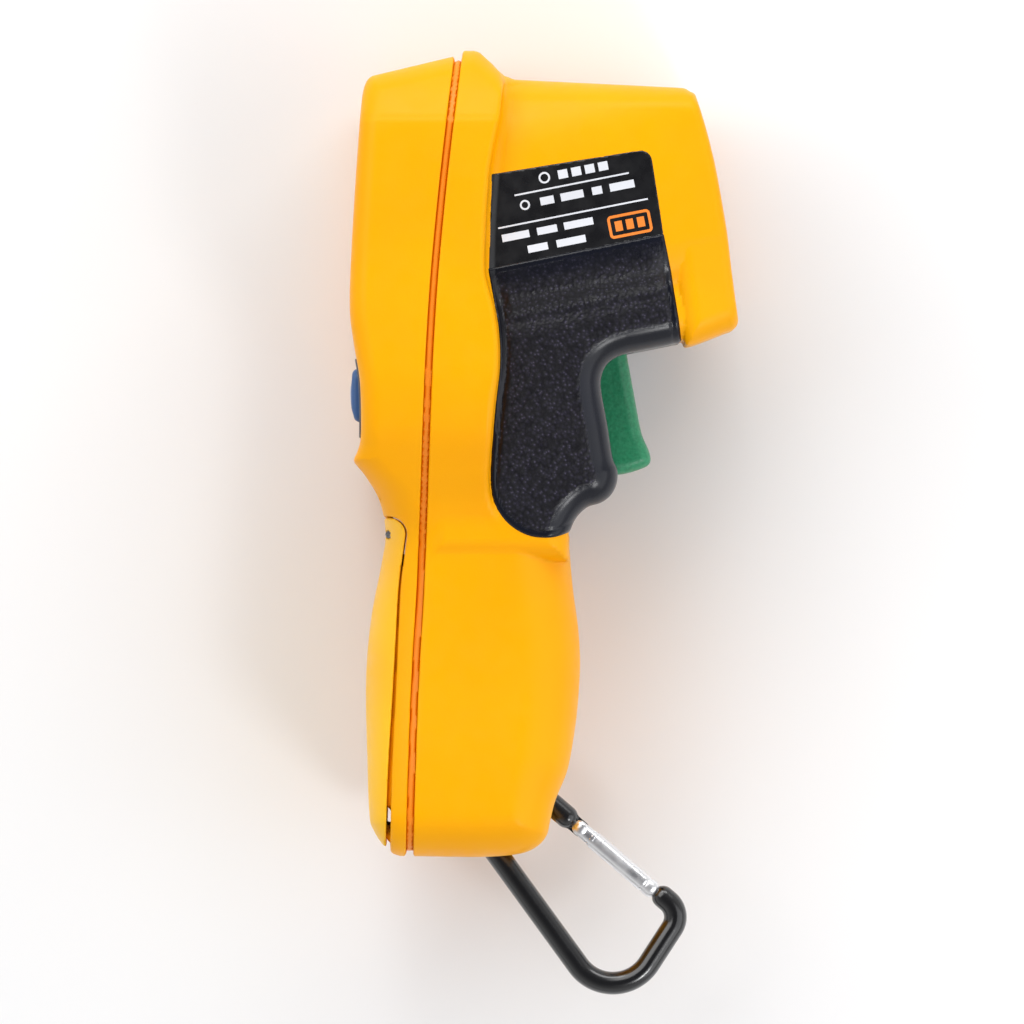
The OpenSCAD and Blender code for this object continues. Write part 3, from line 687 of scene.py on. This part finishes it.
class Finish:
    """A procedural material built up node by node."""

    def __init__(self, name):
        self.material = bpy.data.materials.new(name)
        self.material.use_nodes = True
        self.tree = self.material.node_tree
        self.tree.nodes.clear()
        self.out = self.tree.nodes.new("ShaderNodeOutputMaterial")
        self.shader = self.tree.nodes.new("ShaderNodeBsdfPrincipled")
        self.link(self.shader.outputs[0], self.out.inputs[0])
        self.place = self.tree.nodes.new("ShaderNodeTexCoord").outputs["Object"]
        self.height = None

    def link(self, a, b):
        self.tree.links.new(a, b)

    def set(self, **values):
        for key, value in values.items():
            self.shader.inputs[key.replace("_", " ")].default_value = value
        return self

    def node(self, kind, **props):
        node = self.tree.nodes.new(kind)
        for key, value in props.items():
            setattr(node, key, value)
        return node

    def noise(self, scale, detail=3.0, rough=0.5, stretch=None):
        node = self.node("ShaderNodeTexNoise")
        node.inputs["Scale"].default_value = scale
        node.inputs["Detail"].default_value = detail
        node.inputs["Roughness"].default_value = rough
        self.link(self.stretched(stretch), node.inputs["Vector"])
        return node.outputs["Fac"]

    def cells(self, scale, stretch=None, feature="F1", out="Distance"):
        node = self.node("ShaderNodeTexVoronoi", feature=feature)
        node.inputs["Scale"].default_value = scale
        self.link(self.stretched(stretch), node.inputs["Vector"])
        return node.outputs[out]

    def stretched(self, stretch):
        if stretch is None:
            return self.place
        node = self.node("ShaderNodeMapping")
        node.inputs["Scale"].default_value = stretch
        self.link(self.place, node.inputs["Vector"])
        return node.outputs["Vector"]

    def maths(self, operation, *values):
        node = self.node("ShaderNodeMath", operation=operation)
        for socket, value in zip(node.inputs, values):
            if isinstance(value, float):
                socket.default_value = value
            else:
                self.link(value, socket)
        return node.outputs[0]

    def ramp(self, value, stops):
        node = self.node("ShaderNodeValToRGB")
        ramp_stops = node.color_ramp.elements
        while len(ramp_stops) < len(stops):
            ramp_stops.new(0.5)
        for stop, (at, colour) in zip(ramp_stops, stops):
            stop.position = at
            colour = colour if isinstance(colour, tuple) else (colour, colour, colour)
            stop.color = (*colour, 1)
        self.link(value, node.inputs["Fac"])
        return node.outputs["Color"]

    def colour(self, value, *stops):
        self.link(self.ramp(value, stops), self.shader.inputs["Base Color"])
        return self

    def rough(self, value, low, high, start=0.35, end=0.65):
        self.link(self.ramp(value, [(start, low), (end, high)]),
                  self.shader.inputs["Roughness"])
        return self

    def bump(self, value, depth, strength=1.0):
        """Adds relief of the given depth in metres on top of what is there."""
        node = self.node("ShaderNodeBump")
        node.inputs["Strength"].default_value = strength
        node.inputs["Distance"].default_value = depth
        self.link(value, node.inputs["Height"])
        if self.height is not None:
            self.link(self.height, node.inputs["Normal"])
        self.height = node.outputs["Normal"]
        self.link(self.height, self.shader.inputs["Normal"])
        return self


def srgb(r, g, b):
    def one(c):
        c /= 255
        return c / 12.92 if c <= 0.04045 else ((c + 0.055) / 1.055) ** 2.4
    return one(r), one(g), one(b)


def moulded(name, dark, light, roughness=0.36, grain=0.00003, coat=0.15, scale=2600):
    """Moulded plastic: faint mottling, fine spark grain, uneven gloss."""
    f = Finish(name)
    f.colour(f.noise(38, 4), (0.3, dark), (0.7, light))
    f.rough(f.noise(300, 3), roughness - 0.05, roughness + 0.06)
    f.bump(f.noise(scale, 2, 0.6), grain, 0.35)
    f.bump(f.noise(60, 2), grain * 4, 0.08)
    return f.set(Coat_Weight=coat, Coat_Roughness=0.22, Specular_IOR_Level=0.45)


def metal(name, dark, light, roughness=0.25, stretch=(1, 1, 1), scale=900, grain=0.00001):
    f = Finish(name)
    f.colour(f.noise(120, 3), (0.3, dark), (0.7, light))
    f.rough(f.noise(scale, 3, 0.6, stretch), roughness - 0.08, roughness + 0.1)
    f.bump(f.noise(scale, 2, 0.5, stretch), grain, 0.4)
    return f.set(Metallic=1.0)


def shell_yellow(name):
    f = Finish(name)
    f.colour(f.noise(26, 4), (0.25, srgb(248, 165, 0)), (0.6, srgb(250, 171, 0)),
             (0.85, srgb(251, 179, 0)))
    f.rough(f.noise(260, 3), 0.34, 0.44)
    f.bump(f.noise(2300, 2, 0.6), 0.00003, 0.22)
    f.bump(f.noise(50, 2), 0.0001, 0.06)
    return f.set(Coat_Weight=0.0, Coat_Roughness=0.3, Specular_IOR_Level=0.14,
                 Subsurface_Weight=0.05,
                 Subsurface_Radius=(0.002, 0.001, 0.0003))


def grip_black(name):
    """Leather-like spark grain with a faint bluish sheen; the light bluish flecks in its colour are
    painted sparkle, lamp highlights painted onto the grain.
    The mesh's "smooth" attribute is 1 on the polished rim and front band and 0 on the grained
    field."""
    f = Finish(name)
    polish = f.node("ShaderNodeAttribute", attribute_name="smooth").outputs["Fac"]
    keep = f.maths("SUBTRACT", 1.0, polish)
    pebble = f.cells(1150)
    fleck = f.noise(2600, 3, 0.65)
    # Painted sparkle: the light bluish-grey end of this ramp paints lamp glints onto the dark grain
    grain_and_painted_sparkle = f.ramp(f.maths("MULTIPLY", pebble, fleck),
                     [(0.0, srgb(78, 74, 94)), (0.11, srgb(32, 30, 42)), (0.3, srgb(10, 9, 16))])
    mix = f.node("ShaderNodeMix", data_type="RGBA")
    f.link(polish, mix.inputs["Factor"])
    f.link(grain_and_painted_sparkle, mix.inputs["A"])
    f.link(f.ramp(f.noise(60, 2), [(0.3, srgb(9, 11, 20)), (0.7, srgb(14, 17, 30))]),
           mix.inputs["B"])
    f.link(mix.outputs["Result"], f.shader.inputs["Base Color"])
    f.rough(f.maths("MULTIPLY", f.noise(500, 3), keep), 0.24, 0.42, 0.1, 0.6)
    f.bump(f.maths("MULTIPLY", pebble, keep), 0.00018, 0.6)
    f.bump(f.maths("MULTIPLY", fleck, keep), 0.00009, 0.5)
    return f.set(Specular_IOR_Level=0.34, Sheen_Weight=0.03, Sheen_Roughness=0.35,
                 Sheen_Tint=(0.65, 0.68, 1, 1))


def trigger_green(name):
    f = Finish(name)
    f.colour(f.noise(1500, 3, 0.6), (0.3, srgb(26, 126, 84)), (0.7, srgb(44, 150, 104)))
    f.rough(f.noise(500, 3), 0.3, 0.45)
    f.bump(f.cells(900), 0.00012, 0.35)
    f.bump(f.noise(2600, 3, 0.6), 0.00005, 0.4)
    return f.set(Coat_Weight=0.1, Coat_Roughness=0.3)


def glassy(name, tint, roughness=0.06, alpha=0.35, film=0.0):
    """A clear window that shows what is behind it, with a faint smeared gloss."""
    f = Finish(name)
    f.colour(f.noise(90, 2), (0.35, tint), (0.65, tuple(min(1, 1.15 * c) for c in tint)))
    f.rough(f.noise(160, 4), roughness, roughness + 0.06)
    f.bump(f.noise(40, 2), 0.00003, 0.05)
    f.set(Alpha=alpha, IOR=1.46, Coat_Weight=0.6, Coat_Roughness=0.04)
    if film:
        f.set(Thin_Film_Thickness=film)
    return f


def board(name):
    """Solder mask over copper tracks."""
    f = Finish(name)
    tracks = f.node("ShaderNodeTexBrick")
    tracks.inputs["Scale"].default_value = 420
    tracks.inputs["Mortar Size"].default_value = 0.06
    tracks.inputs["Color1"].default_value = (*srgb(10, 76, 44), 1)
    tracks.inputs["Color2"].default_value = (*srgb(14, 88, 52), 1)
    tracks.inputs["Mortar"].default_value = (*srgb(34, 128, 76), 1)
    turn = f.node("ShaderNodeMapping")
    turn.inputs["Rotation"].default_value = (0, math.radians(90), 0)
    f.link(f.place, turn.inputs["Vector"])
    f.link(turn.outputs["Vector"], tracks.inputs["Vector"])
    f.link(tracks.outputs["Color"], f.shader.inputs["Base Color"])
    f.rough(f.noise(500, 3), 0.25, 0.4)
    f.bump(tracks.outputs["Fac"], 0.00003, 0.5)
    return f.set(Coat_Weight=0.3)


# How each finish is made, and the values for it
FINISHES = {
    "shell_yellow": (shell_yellow,),
    # Painted shade: the seal is a darker orange than the shell, which paints the recessed groove's
    # shade into its colour
    "seal_orange": (moulded, srgb(238, 140, 0), srgb(246, 154, 2), 0.5, 0.00004, 0.05),
    "grip_black": (grip_black,),
    "label_black": (moulded, srgb(8, 8, 11), srgb(13, 13, 17), 0.3, 0.00002, 0.1, 3200),
    "trim_black": (moulded, srgb(14, 14, 18), srgb(24, 24, 29), 0.3, 0.00003, 0.25),
    "lens": (glassy, srgb(70, 76, 92), 0.04, 0.8, 420.0),
    "steel": (metal, (0.5, 0.5, 0.51), (0.66, 0.66, 0.68), 0.26),
    "board_green": (board,),
    "brass_turned": (metal, (0.6, 0.42, 0.17), (0.76, 0.56, 0.26), 0.24, (1, 12, 12)),
    "laser_windows": (glassy, srgb(170, 20, 18), 0.05, 0.7),
    "display_window": (glassy, srgb(60, 66, 70), 0.05, 0.16),
    "lcd_panel": (moulded, srgb(128, 142, 122), srgb(146, 160, 138), 0.22, 0.00001, 0.4),
    "backlight": (moulded, srgb(222, 224, 222), srgb(238, 240, 238), 0.4),
    "keypad_grey": (moulded, srgb(70, 72, 80), srgb(92, 94, 102), 0.42),
    "key_blue": (moulded, srgb(52, 88, 140), srgb(72, 110, 162), 0.42, 0.00005, 0.08),
    "trigger_green": (trigger_green,),
    "door_yellow": (moulded, srgb(251, 184, 0), srgb(253, 195, 2), 0.36, 0.00003, 0.02, 2300),
    "battery": (moulded, srgb(28, 30, 36), srgb(44, 46, 54), 0.24, 0.00001, 0.6),
    "hook_black": (moulded, srgb(6, 6, 8), srgb(12, 12, 15), 0.16, 0.00001, 0.8, 900),
    "gate_silver": (metal, (0.84, 0.84, 0.86), (0.95, 0.95, 0.96), 0.3, (1, 1, 1), 240,
                    0.000004),
    # Prints, signs and metal ends within pieces of another slot
    "icon_white": (moulded, srgb(214, 216, 222), srgb(232, 234, 240), 0.4),
    "icon_orange": (moulded, srgb(232, 122, 34), srgb(244, 140, 52), 0.4),
    "segment_dark": (moulded, srgb(22, 26, 24), srgb(34, 38, 36), 0.3),
    "battery_copper": (metal, (0.55, 0.3, 0.14), (0.72, 0.42, 0.22)),
}
made = {}


def finish(name):
    if name not in made:
        kind, *values = FINISHES[name]
        made[name] = kind(name, *values).material
    return made[name]


def dress(obj, body, slot, *nodes, material=None):
    """Gives a piece the finish named by material, or else by slot, puts it under its body, and
    hides the carried nodes it stands for.
    """
    obj.data.materials.clear()
    obj.data.materials.append(finish(material or slot))
    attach(obj, body)
    if nodes:
        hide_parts(*nodes)
    return obj


# ---- the case -----------------------------------------------------------------------------------

dress(case_object("front_housing", front_housing, (0.4, 69), [(1.2, 2.4, 0.3)]), "case",
      "shell_yellow", "front_housing")
dress(case_object("rear_cover", rear_cover, (-24, 0.6), [(-0.8, 0.4, 0.3)]), "case",
      "shell_yellow", "rear_cover")
# The seal's darker orange finish is painted shade of the recessed groove
dress(case_object("parting_seal", parting_seal, (-0.8, 2.4), [(-0.4, 2, 0.4)]), "case",
      "seal_orange", "parting_seal")
wrap_mesh = dress(even_object("grip_wrap", grip_wrap, (-14.5, 32), (-5, 64), (-33.6, 33.6),
                              0.42), "case", "grip_black", "grip_wrap")
spots = np.array([v.co for v in wrap_mesh.data.vertices]) / MM
front_band = ramp(FORE(spots[:, 0], spots[:, 1]), -4.7, -3.9)
rim_band = ramp(BLACK(spots[:, 0], spots[:, 1]), -1.8, -1.5)
fold = slope_height(spots[:, 0], spots[:, 1])
roll_band = 0.6 * ramp(fold, 53.5, 57)
polish = wrap_mesh.data.attributes.new("smooth", "FLOAT", "POINT")
polish.data.foreach_set("value", np.clip(np.maximum(np.maximum(front_band, rim_band), roll_band),
                                         0, 1))
dress(even_object("battery_door", battery_door, (-41.5, -27), (-74.5, 3.5), (-26.5, 26.5), FINE),
      "battery_door", "door_yellow", "battery_door")


def label_plate(x, y, w):
    outer = case(x, y, w)
    limit = LABEL(x, y)
    rise = -0.5 + 0.62 * ramp(-limit, -0.3, 0.35)
    return all_of(outer - rise, limit - 0.3, -(outer + 1.1))


for side, name in ((1, "label_plate_right"), (-1, "label_plate_left")):
    ends = (26, 33.4) if side > 0 else (-33.4, -26)
    dress(even_object(name, lambda x, y, w, s=side: all_of(label_plate(x, y, w), 26 - s * w),
                      (-13.5, 27.5), (53.5, 82.5), ends, FINE), "case", "label_black", name)


def label_surface(x, y):
    return along(slope_height(x, y), FORE_HALF) - taper(x) + 0.12


LABEL_TURN = math.radians(11.2)
PRINT_LOW, PRINT_HIGH = -0.15, 0.07


def on_label(side, centre, u, v, up):
    """A point of the print, u along the label's slope and v across it from centre."""
    c, s = math.cos(LABEL_TURN), math.sin(LABEL_TURN)
    x = centre[0] + c * u - s * v
    y = centre[1] + s * u + c * v
    return x, y, side * (label_surface(x, y) + up)


def printed(builder, side, centre, half_u, half_v):
    """A thin printed bar on a label, centred at a place of the side view and sloped with it."""
    n = max(2, int(half_u / 0.7))
    rows = []
    for t in np.linspace(-1, 1, n + 1):
        rows.append([on_label(side, centre, t * half_u, v, up) for v, up in (
            (-half_v, PRINT_LOW), (-half_v, PRINT_HIGH), (half_v, PRINT_HIGH),
            (half_v, PRINT_LOW))])
    builder.grid(rows)


def printed_ring(builder, side, centre, half_u, half_v, r, line):
    """A rounded outline printed on a label."""
    rows = []
    for k, (su, sv) in enumerate(((1, 1), (-1, 1), (-1, -1), (1, -1))):
        for a in np.radians(np.linspace(0, 90, 7) + 90 * k):
            rows.append([on_label(side, centre, su * (half_u - r) + (r + grow) * math.cos(a),
                                  sv * (half_v - r) + (r + grow) * math.sin(a), up)
                         for grow, up in ((0, PRINT_LOW), (0, PRINT_HIGH), (-line, PRINT_HIGH),
                                          (-line, PRINT_LOW))])
    rows.append(rows[0])
    builder.grid(rows, caps=False)


for side, tag in ((1, "right"), (-1, "left")):
    white, orange = Builder(), Builder()
    printed(white, side, (5.9, 73.7), 12.6, 0.18)
    printed(white, side, (6.2, 67.35), 16.5, 0.18)
    printed_ring(white, side, (0.0, 75.1), 1.25, 1.25, 1.25, 0.4)
    for k in range(4):
        printed(white, side, (4.0 + 2.9 * k, 75.9 + 0.57 * k), 1.05, 0.95)
    printed_ring(white, side, (-4.2, 69.2), 1.1, 1.1, 1.1, 0.4)
    for k, half in enumerate((1.5, 2.5, 1.1, 2.7)):
        printed(white, side, (0.6 + 5.4 * k, 70.2 + 1.07 * k), half, 0.85)
    for k, half in enumerate((3.0, 2.2, 3.2)):
        printed(white, side, (-6.2 + 6.8 * k, 62.5 + 1.35 * k), half, 0.8)
    for k, half in enumerate((2.2, 3.2)):
        printed(white, side, (-1.4 + 7.2 * k, 60.0 + 1.4 * k), half, 0.8)
    printed_ring(orange, side, (18.5, 65.1), 4.7, 2.5, 0.9, 0.6)
    for k in range(3):
        printed(orange, side, (16.1 + 2.4 * k, 64.65 + 0.47 * k), 0.8, 1.1)
    dress(white.make("label_marks_" + tag, False), "case", "label_black",
          material="icon_white")
    dress(orange.make("label_badge_" + tag, False), "case", "label_black",
          material="icon_orange")


# ---- the muzzle ---------------------------------------------------------------------------------

def tilted(obj, origin, angle):
    """Moves a mesh made in a tilted frame to its place on the case."""
    obj.data.transform(Matrix.Translation((origin[0] * MM, origin[1] * MM, 0))
                       @ Matrix.Rotation(angle, 4, "Z"))
    return obj


def nose_bezel(u, v, w):
    plate = rounded_box(v, w, 17.7, 23.5, 7.8)
    face = -3.6 + 2.0 * ramp(plate, -2.6, -1.2)
    body = all_of(cut(plate, u - face, 0.5), -4.6 - u)
    radial = np.hypot(v, w)
    collar = cut(radial - BARREL_R, all_of(u + 1.7, -9.9 - u), 0.5)
    body = join(body, collar, 0.4)
    sockets = cut(pair(v, w, 0, LASER_OFFSET, 4.3), all_of(u + 2.4, -4.6 - u), 0.4)
    body = join(body, sockets, 0.3)
    stepped = 12 + 0.35 * np.cos(np.clip(u + 9.6, 0, 7.4) * 2 * math.pi / 1.2)
    body = cut(body, stepped - radial, 0.25)
    return cut(body, -pair(v, w, 0, LASER_OFFSET, LASER_R), 0.4)


dress(tilted(even_object("nose_bezel", nose_bezel, (-10.4, -0.6), (-18.4, 18.4), (-24.2, 24.2),
                         FINE), MUZZLE, AIM_TILT), "case", "trim_black", "nose_bezel")
glass = Builder()
lathe(glass, MUZZLE, AIM_TILT, [(-12.6, 0.01), (-12.6, 11.6), (-12.4, 11.85)]
      + [(-12.4 + 1.0 * math.cos(t), 11.85 * math.sin(t)) for t in np.linspace(1.5, 0.02, 14)],
      n=72)
dress(glass.make("lens"), "case", "lens", "lens")

# ---- display and keypad -------------------------------------------------------------------------

pane = Builder()
loop_plate(pane, DISPLAY, DISPLAY_TILT,
           [(2.1, 17.0, 22.0, 4.8, 0, 0), (0.95, 17.1, 22.1, 4.8, 0, 0),
            (0.6, 16.9, 21.9, 4.7, 0, 0), (0.46, 16.5, 21.5, 4.4, 0, 0),
            (0.4, 15.2, 20.2, 3.6, 0, 0), (0.38, 8, 12, 2, 0, 0)])
dress(pane.make("display_window"), "case", "display_window", "display_window")


def display_bar(builder, v, w, half_v, half_w, u=3.52, thick=0.12):
    loop_plate(builder, DISPLAY, DISPLAY_TILT,
               [(u + thick, half_v, half_w, min(half_v, half_w) * 0.4, v, w),
                (u, half_v, half_w, min(half_v, half_w) * 0.4, v, w)], 4)


marks = Builder()
for k in range(9):
    display_bar(marks, -9.5, -14 + 3.5 * k, 0.5 + 0.28 * k, 1.1)
for k in range(3):
    display_bar(marks, 12.5, -14 + 5 * k, 1.2, 1.6)
for k in range(4):
    display_bar(marks, 12.5, 10.2 + 1.5 * k, 0.5 + 0.3 * k, 0.45)
display_bar(marks, 3.8, 0, 3.4, 13.5)
dress(marks.make("display_marks", False), "case", "lcd_panel", material="segment_dark")


def keypad_frame(x, y, w):
    outer = case(x, y, w)
    area = rounded_box(y - KEYPAD_Y, w, 8.65, 25, 4)
    proud = 0.45 - 0.75 * ramp(-area, 0.8, 1.5)
    body = cut(all_of(outer - proud, x + 37.5), area, 0.35)
    folded = np.abs(np.abs(w) - KEY_PITCH / 2) - KEY_PITCH / 2
    key = rounded_box(y - KEY_Y, folded, 6.05, 6.45, 2.2)
    return cut(body, -key, 0.25)


dress(even_object("keypad_frame", keypad_frame, (-43, -36.5), (17.5, 37.5), (-26, 26), FINE),
      "case", "keypad_grey", "keypad_frame")


def key_cap(k):
    def field(x, y, w):
        w = w - k * KEY_PITCH
        block = rounded_box(y - KEY_Y, w, 5.75, 6.15, 2)
        dish = 0.18 * np.exp(-((y - KEY_Y) ** 2 + w * w) / 9)
        face = -41.9 + 0.01 * (y - KEY_Y) ** 2 + 0.35 * ramp(KEY_Y - y, 2.5, 5) - dish
        return all_of(cut(block, face - x, 1.1), x + 36.4)
    return field


def key_mark(builder, k):
    """A raised plain sign: arrow, ring or arrow."""
    sides = 20 if k == 0 else 3
    a = np.linspace(0, 2 * math.pi, sides, endpoint=False) + math.pi / 2 * (1 if k > 0 else -1)
    rows = []
    for x, r in ((-41.2, 2.0), (-42.08, 2.0), (-42.16, 1.9)):
        rows.append(np.column_stack([np.full(sides, x), KEY_Y + r * np.sin(a),
                                     k * KEY_PITCH + r * np.cos(a)]))
    builder.grid(rows)


for k, name in ((-1, "key_left"), (0, "key_center"), (1, "key_right")):
    cap = even_object(name, key_cap(k), (-43, -35.8), (KEY_Y - 6.6, KEY_Y + 6.6),
                      (k * KEY_PITCH - 7, k * KEY_PITCH + 7), FINE)
    dress(cap, name, "key_blue", name)
    sign = Builder()
    key_mark(sign, k)
    dress(sign.make(name + "_sign", False), name, "key_blue", material="icon_white")

# ---- trigger, battery ---------------------------------------------------------------------------

dress(even_object("trigger", trigger, (4.6, 24), (10, 48.2), (-7.8, 7.8), FINE), "trigger",
      "trigger_green", "trigger")

SPRING = (-4.55, 16)
coil = Builder()
helix(coil, (*SPRING, 0), (1, 0, 0), radius=2.2, wire=0.35, turns=6.5, length=12.2)
spring = dress(coil.make("trigger_spring"), "case", "steel", "trigger_spring")
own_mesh(spring)

CELL_X, CELL_LOW = -25.4, -55.0
wrap, cap = Builder(), Builder()
lathe(wrap, (CELL_X, CELL_LOW), math.pi / 2,
      [(0.3, 0.01), (0.3, 6.2), (0.35, 6.8), (0.8, 7.05), (33, 7.05), (33.05, 7.03)])
lathe(cap, (CELL_X, CELL_LOW), math.pi / 2,
      [(33.05, 6.9), (33.1, 7.05), (48.1, 7.05), (48.5, 6.8), (48.55, 6), (48.6, 2.8),
       (49.8, 2.7), (50, 2.4), (50, 0.01)])
dress(wrap.make("battery"), "case", "battery", "battery")
dress(cap.make("battery_top"), "case", "battery", material="battery_copper")

# ---- snap hook ----------------------------------------------------------------------------------

ROD_R, GATE_R, RIVET_R = 2.5, 2.0, 0.85
NARROW_R, WIDE_R, TIGHT_R = 7.9, 9.4, 4.5
SPINE, SIDE = 32.0, 9.2
SPINE_DIR, GATE_DIR, WIDE_TURN = -54.0, -40.5, 111.0


def ahead(p, d):
    a = math.radians(p[2])
    return (p[0] + d * math.cos(a), p[1] + d * math.sin(a), p[2])


def bend(p, r, turn):
    """Centre of a left-hand bend from p, and the place and heading where it ends."""
    a = math.radians(p[2] + 90)
    centre = (p[0] + r * math.cos(a), p[1] + r * math.sin(a))
    out = math.radians(p[2] - 90 + turn)
    return centre, (centre[0] + r * math.cos(out), centre[1] + r * math.sin(out), p[2] + turn)


def on_ring(degrees, heading):
    a = math.radians(degrees)
    return (BAR[0] + NARROW_R * math.cos(a), BAR[1] + NARROW_R * math.sin(a), heading)


SPINE_TOP = on_ring(SPINE_DIR - 90, SPINE_DIR)
GATE_ROOT = on_ring(GATE_DIR + 90, GATE_DIR)
SPINE_END = ahead(SPINE_TOP, SPINE)
WIDE_MID, WIDE_END = bend(SPINE_END, WIDE_R, WIDE_TURN)
SIDE_END = ahead(WIDE_END, SIDE)
TIGHT_MID, HOOK_TIP = bend(SIDE_END, TIGHT_R, 180 + GATE_DIR - SPINE_DIR - WIDE_TURN)
RIVET = ahead(GATE_ROOT, 10.4)
GATE_LEN = math.hypot(HOOK_TIP[0] - RIVET[0], HOOK_TIP[1] - RIVET[1]) - 3.2


def straight(x, y, w, start, length, r=ROD_R):
    u, v = local(x, y, start, math.radians(start[2]))
    past = np.maximum(np.maximum(-u, u - length), 0)
    return np.sqrt(v * v + w * w + past * past) - r


def bent(x, y, w, centre, radius, a0, a1, r=ROD_R):
    angle = (np.degrees(np.arctan2(y - centre[1], x - centre[0])) - a0) % 360
    flat = np.hypot(x - centre[0], y - centre[1]) - radius
    return np.where(angle <= a1 - a0, np.hypot(flat, w) - r, 1e3)


def hook_body(x, y, w):
    wide_from = SPINE_DIR - 90
    rod = any_of(
        straight(x, y, w, SPINE_TOP, SPINE),
        straight(x, y, w, WIDE_END, SIDE),
        straight(x, y, w, HOOK_TIP, 1.4),
        straight(x, y, w, GATE_ROOT, 6.3),
        bent(x, y, w, BAR, NARROW_R, GATE_DIR + 90, SPINE_DIR + 270),
        bent(x, y, w, WIDE_MID, WIDE_R, wide_from, wide_from + WIDE_TURN),
        bent(x, y, w, TIGHT_MID, TIGHT_R, wide_from + WIDE_TURN, GATE_DIR + 90))
    tongue = all_of(straight(x, y, 0 * w, ahead(GATE_ROOT, 5), 5.4, 1.8), np.abs(w) - 0.8)
    return all_of(join(rod, tongue, 0.3), RIVET_R - np.hypot(x - RIVET[0], y - RIVET[1]))


def hook_gate(u, v, w):
    past = all_of(-0.4 - u, u - GATE_LEN + 1.6, 0)
    body = np.sqrt(past ** 2 + v * v + w * w) - GATE_R
    collar = all_of(np.hypot(v, w) - GATE_R - 0.08, np.abs(u - 3.2) - 0.35)
    fork = 1.0 - all_of(np.abs(w), u - 2.4)
    nick = 0.12 * np.exp(-((u - GATE_LEN + 3) / 0.35) ** 2)
    return all_of(cut(any_of(body, collar), fork, 0.1) + nick, RIVET_R - np.hypot(u, v))


dress(even_object("carabiner_body", hook_body, (-17.5, 35.5), (-106, -53.5), (-3.2, 3.2),
                  0.36), "snap_hook", "hook_black", "carabiner_body")
dress(tilted(even_object("carabiner_gate", hook_gate, (-2.9, GATE_LEN + 1), (-2.8, 2.8),
                         (-2.8, 2.8), 0.24), RIVET,
             math.radians(GATE_DIR)), "hook_gate", "gate_silver", "carabiner_gate")
pin = Builder()
rows = []
for w, r in ((-2.55, 0.01), (-2.5, 0.9), (-2.3, 1.25), (-1.95, 1.3), (-1.9, 0.8), (1.9, 0.8),
             (1.95, 1.3), (2.3, 1.25), (2.5, 0.9), (2.55, 0.01)):
    a, b = ring_loop(r, 24)
    rows.append(np.column_stack([RIVET[0] + a, RIVET[1] + b, np.full(24, w)]))
pin.grid(rows)
dress(pin.make("gate_rivet"), "snap_hook", "gate_silver", "gate_rivet")

# ---- what is carried over from the frame --------------------------------------------------------

slots = {part["node"]: part["material_slot"] for part in frame["record"]["subparts"]}

for name, obj in frame["nodes"].items():
    if not obj.hide_render:
        obj.data.materials.clear()
        obj.data.materials.append(finish(slots[name]))

# ---- stage --------------------------------------------------------------------------------------

def flat_patch(name, half, z, n=24):
    side = np.linspace(-half, half, n)
    verts = [(x, y, z) for y in side for x in side]
    faces = [(j * n + i, j * n + i + 1, (j + 1) * n + i + 1, (j + 1) * n + i)
             for j in range(n - 1) for i in range(n - 1)]
    mesh = bpy.data.meshes.new(name)
    mesh.from_pydata(verts, [], faces)
    obj = bpy.data.objects.new(name, mesh)
    bpy.context.scene.collection.objects.link(obj)
    return obj


floor = flat_patch("floor", 3.0, -0.0002)
paper = Finish("paper")
paper.colour(paper.noise(8, 3), (0.3, (0.86, 0.86, 0.865)), (0.7, (0.88, 0.88, 0.882)))
paper.rough(paper.noise(60, 3), 0.75, 0.85)
floor.data.materials.append(paper.material)


def lamp(name, place, aim, size, power, colour=(1, 1, 1)):
    data = bpy.data.lights.new(name, "AREA")
    data.shape = "RECTANGLE"
    data.size, data.size_y = size
    data.energy = power
    data.color = colour
    obj = bpy.data.objects.new(name, data)
    obj.location = place
    obj.rotation_euler = (Vector(aim) - Vector(place)).to_track_quat("-Z", "Y").to_euler()
    bpy.context.scene.collection.objects.link(obj)
    return obj


lamp("key", (-0.45, 0.5, 0.85), (0, 0, 0.03), (1.0, 0.8), 6.0)
lamp("top", (0.15, 0.75, 0.55), (0, 0.06, 0.03), (0.9, 0.3), 3.4)
lamp("fill", (0.7, -0.3, 0.75), (0, 0, 0.03), (1.0, 1.0), 3.4, (0.95, 0.97, 1))
lamp("spark", (0.3, -0.42, 0.6), (0.01, 0.005, 0.06), (0.14, 0.14), 0.9)

world = bpy.data.worlds.new("studio")
world.use_nodes = True
sky = world.node_tree
sky_place = sky.nodes.new("ShaderNodeTexCoord")
sky_axes = sky.nodes.new("ShaderNodeSeparateXYZ")
sky_fall = sky.nodes.new("ShaderNodeValToRGB")
sky_fall.color_ramp.elements[0].color = (0.95, 0.95, 0.95, 1)
sky_fall.color_ramp.elements[1].color = (0.18, 0.18, 0.19, 1)
sky_fall.color_ramp.elements[0].position = 0.35
sky_fall.color_ramp.elements[1].position = 0.97
sky.links.new(sky_place.outputs["Generated"], sky_axes.inputs[0])
sky.links.new(sky_axes.outputs["Z"], sky_fall.inputs["Fac"])
sky.links.new(sky_fall.outputs["Color"], sky.nodes["Background"].inputs["Color"])
sky.nodes["Background"].inputs["Strength"].default_value = 0.8
bpy.context.scene.world = world
bpy.context.scene.view_settings.view_transform = "Standard"

camera_data = bpy.data.cameras.new("camera")
camera_data.lens = 580
camera_data.sensor_width = 36
camera = bpy.data.objects.new("camera", camera_data)
camera.location = (-0.007, 0.0028, 3.6375)
bpy.context.scene.collection.objects.link(camera)
bpy.context.scene.camera = camera
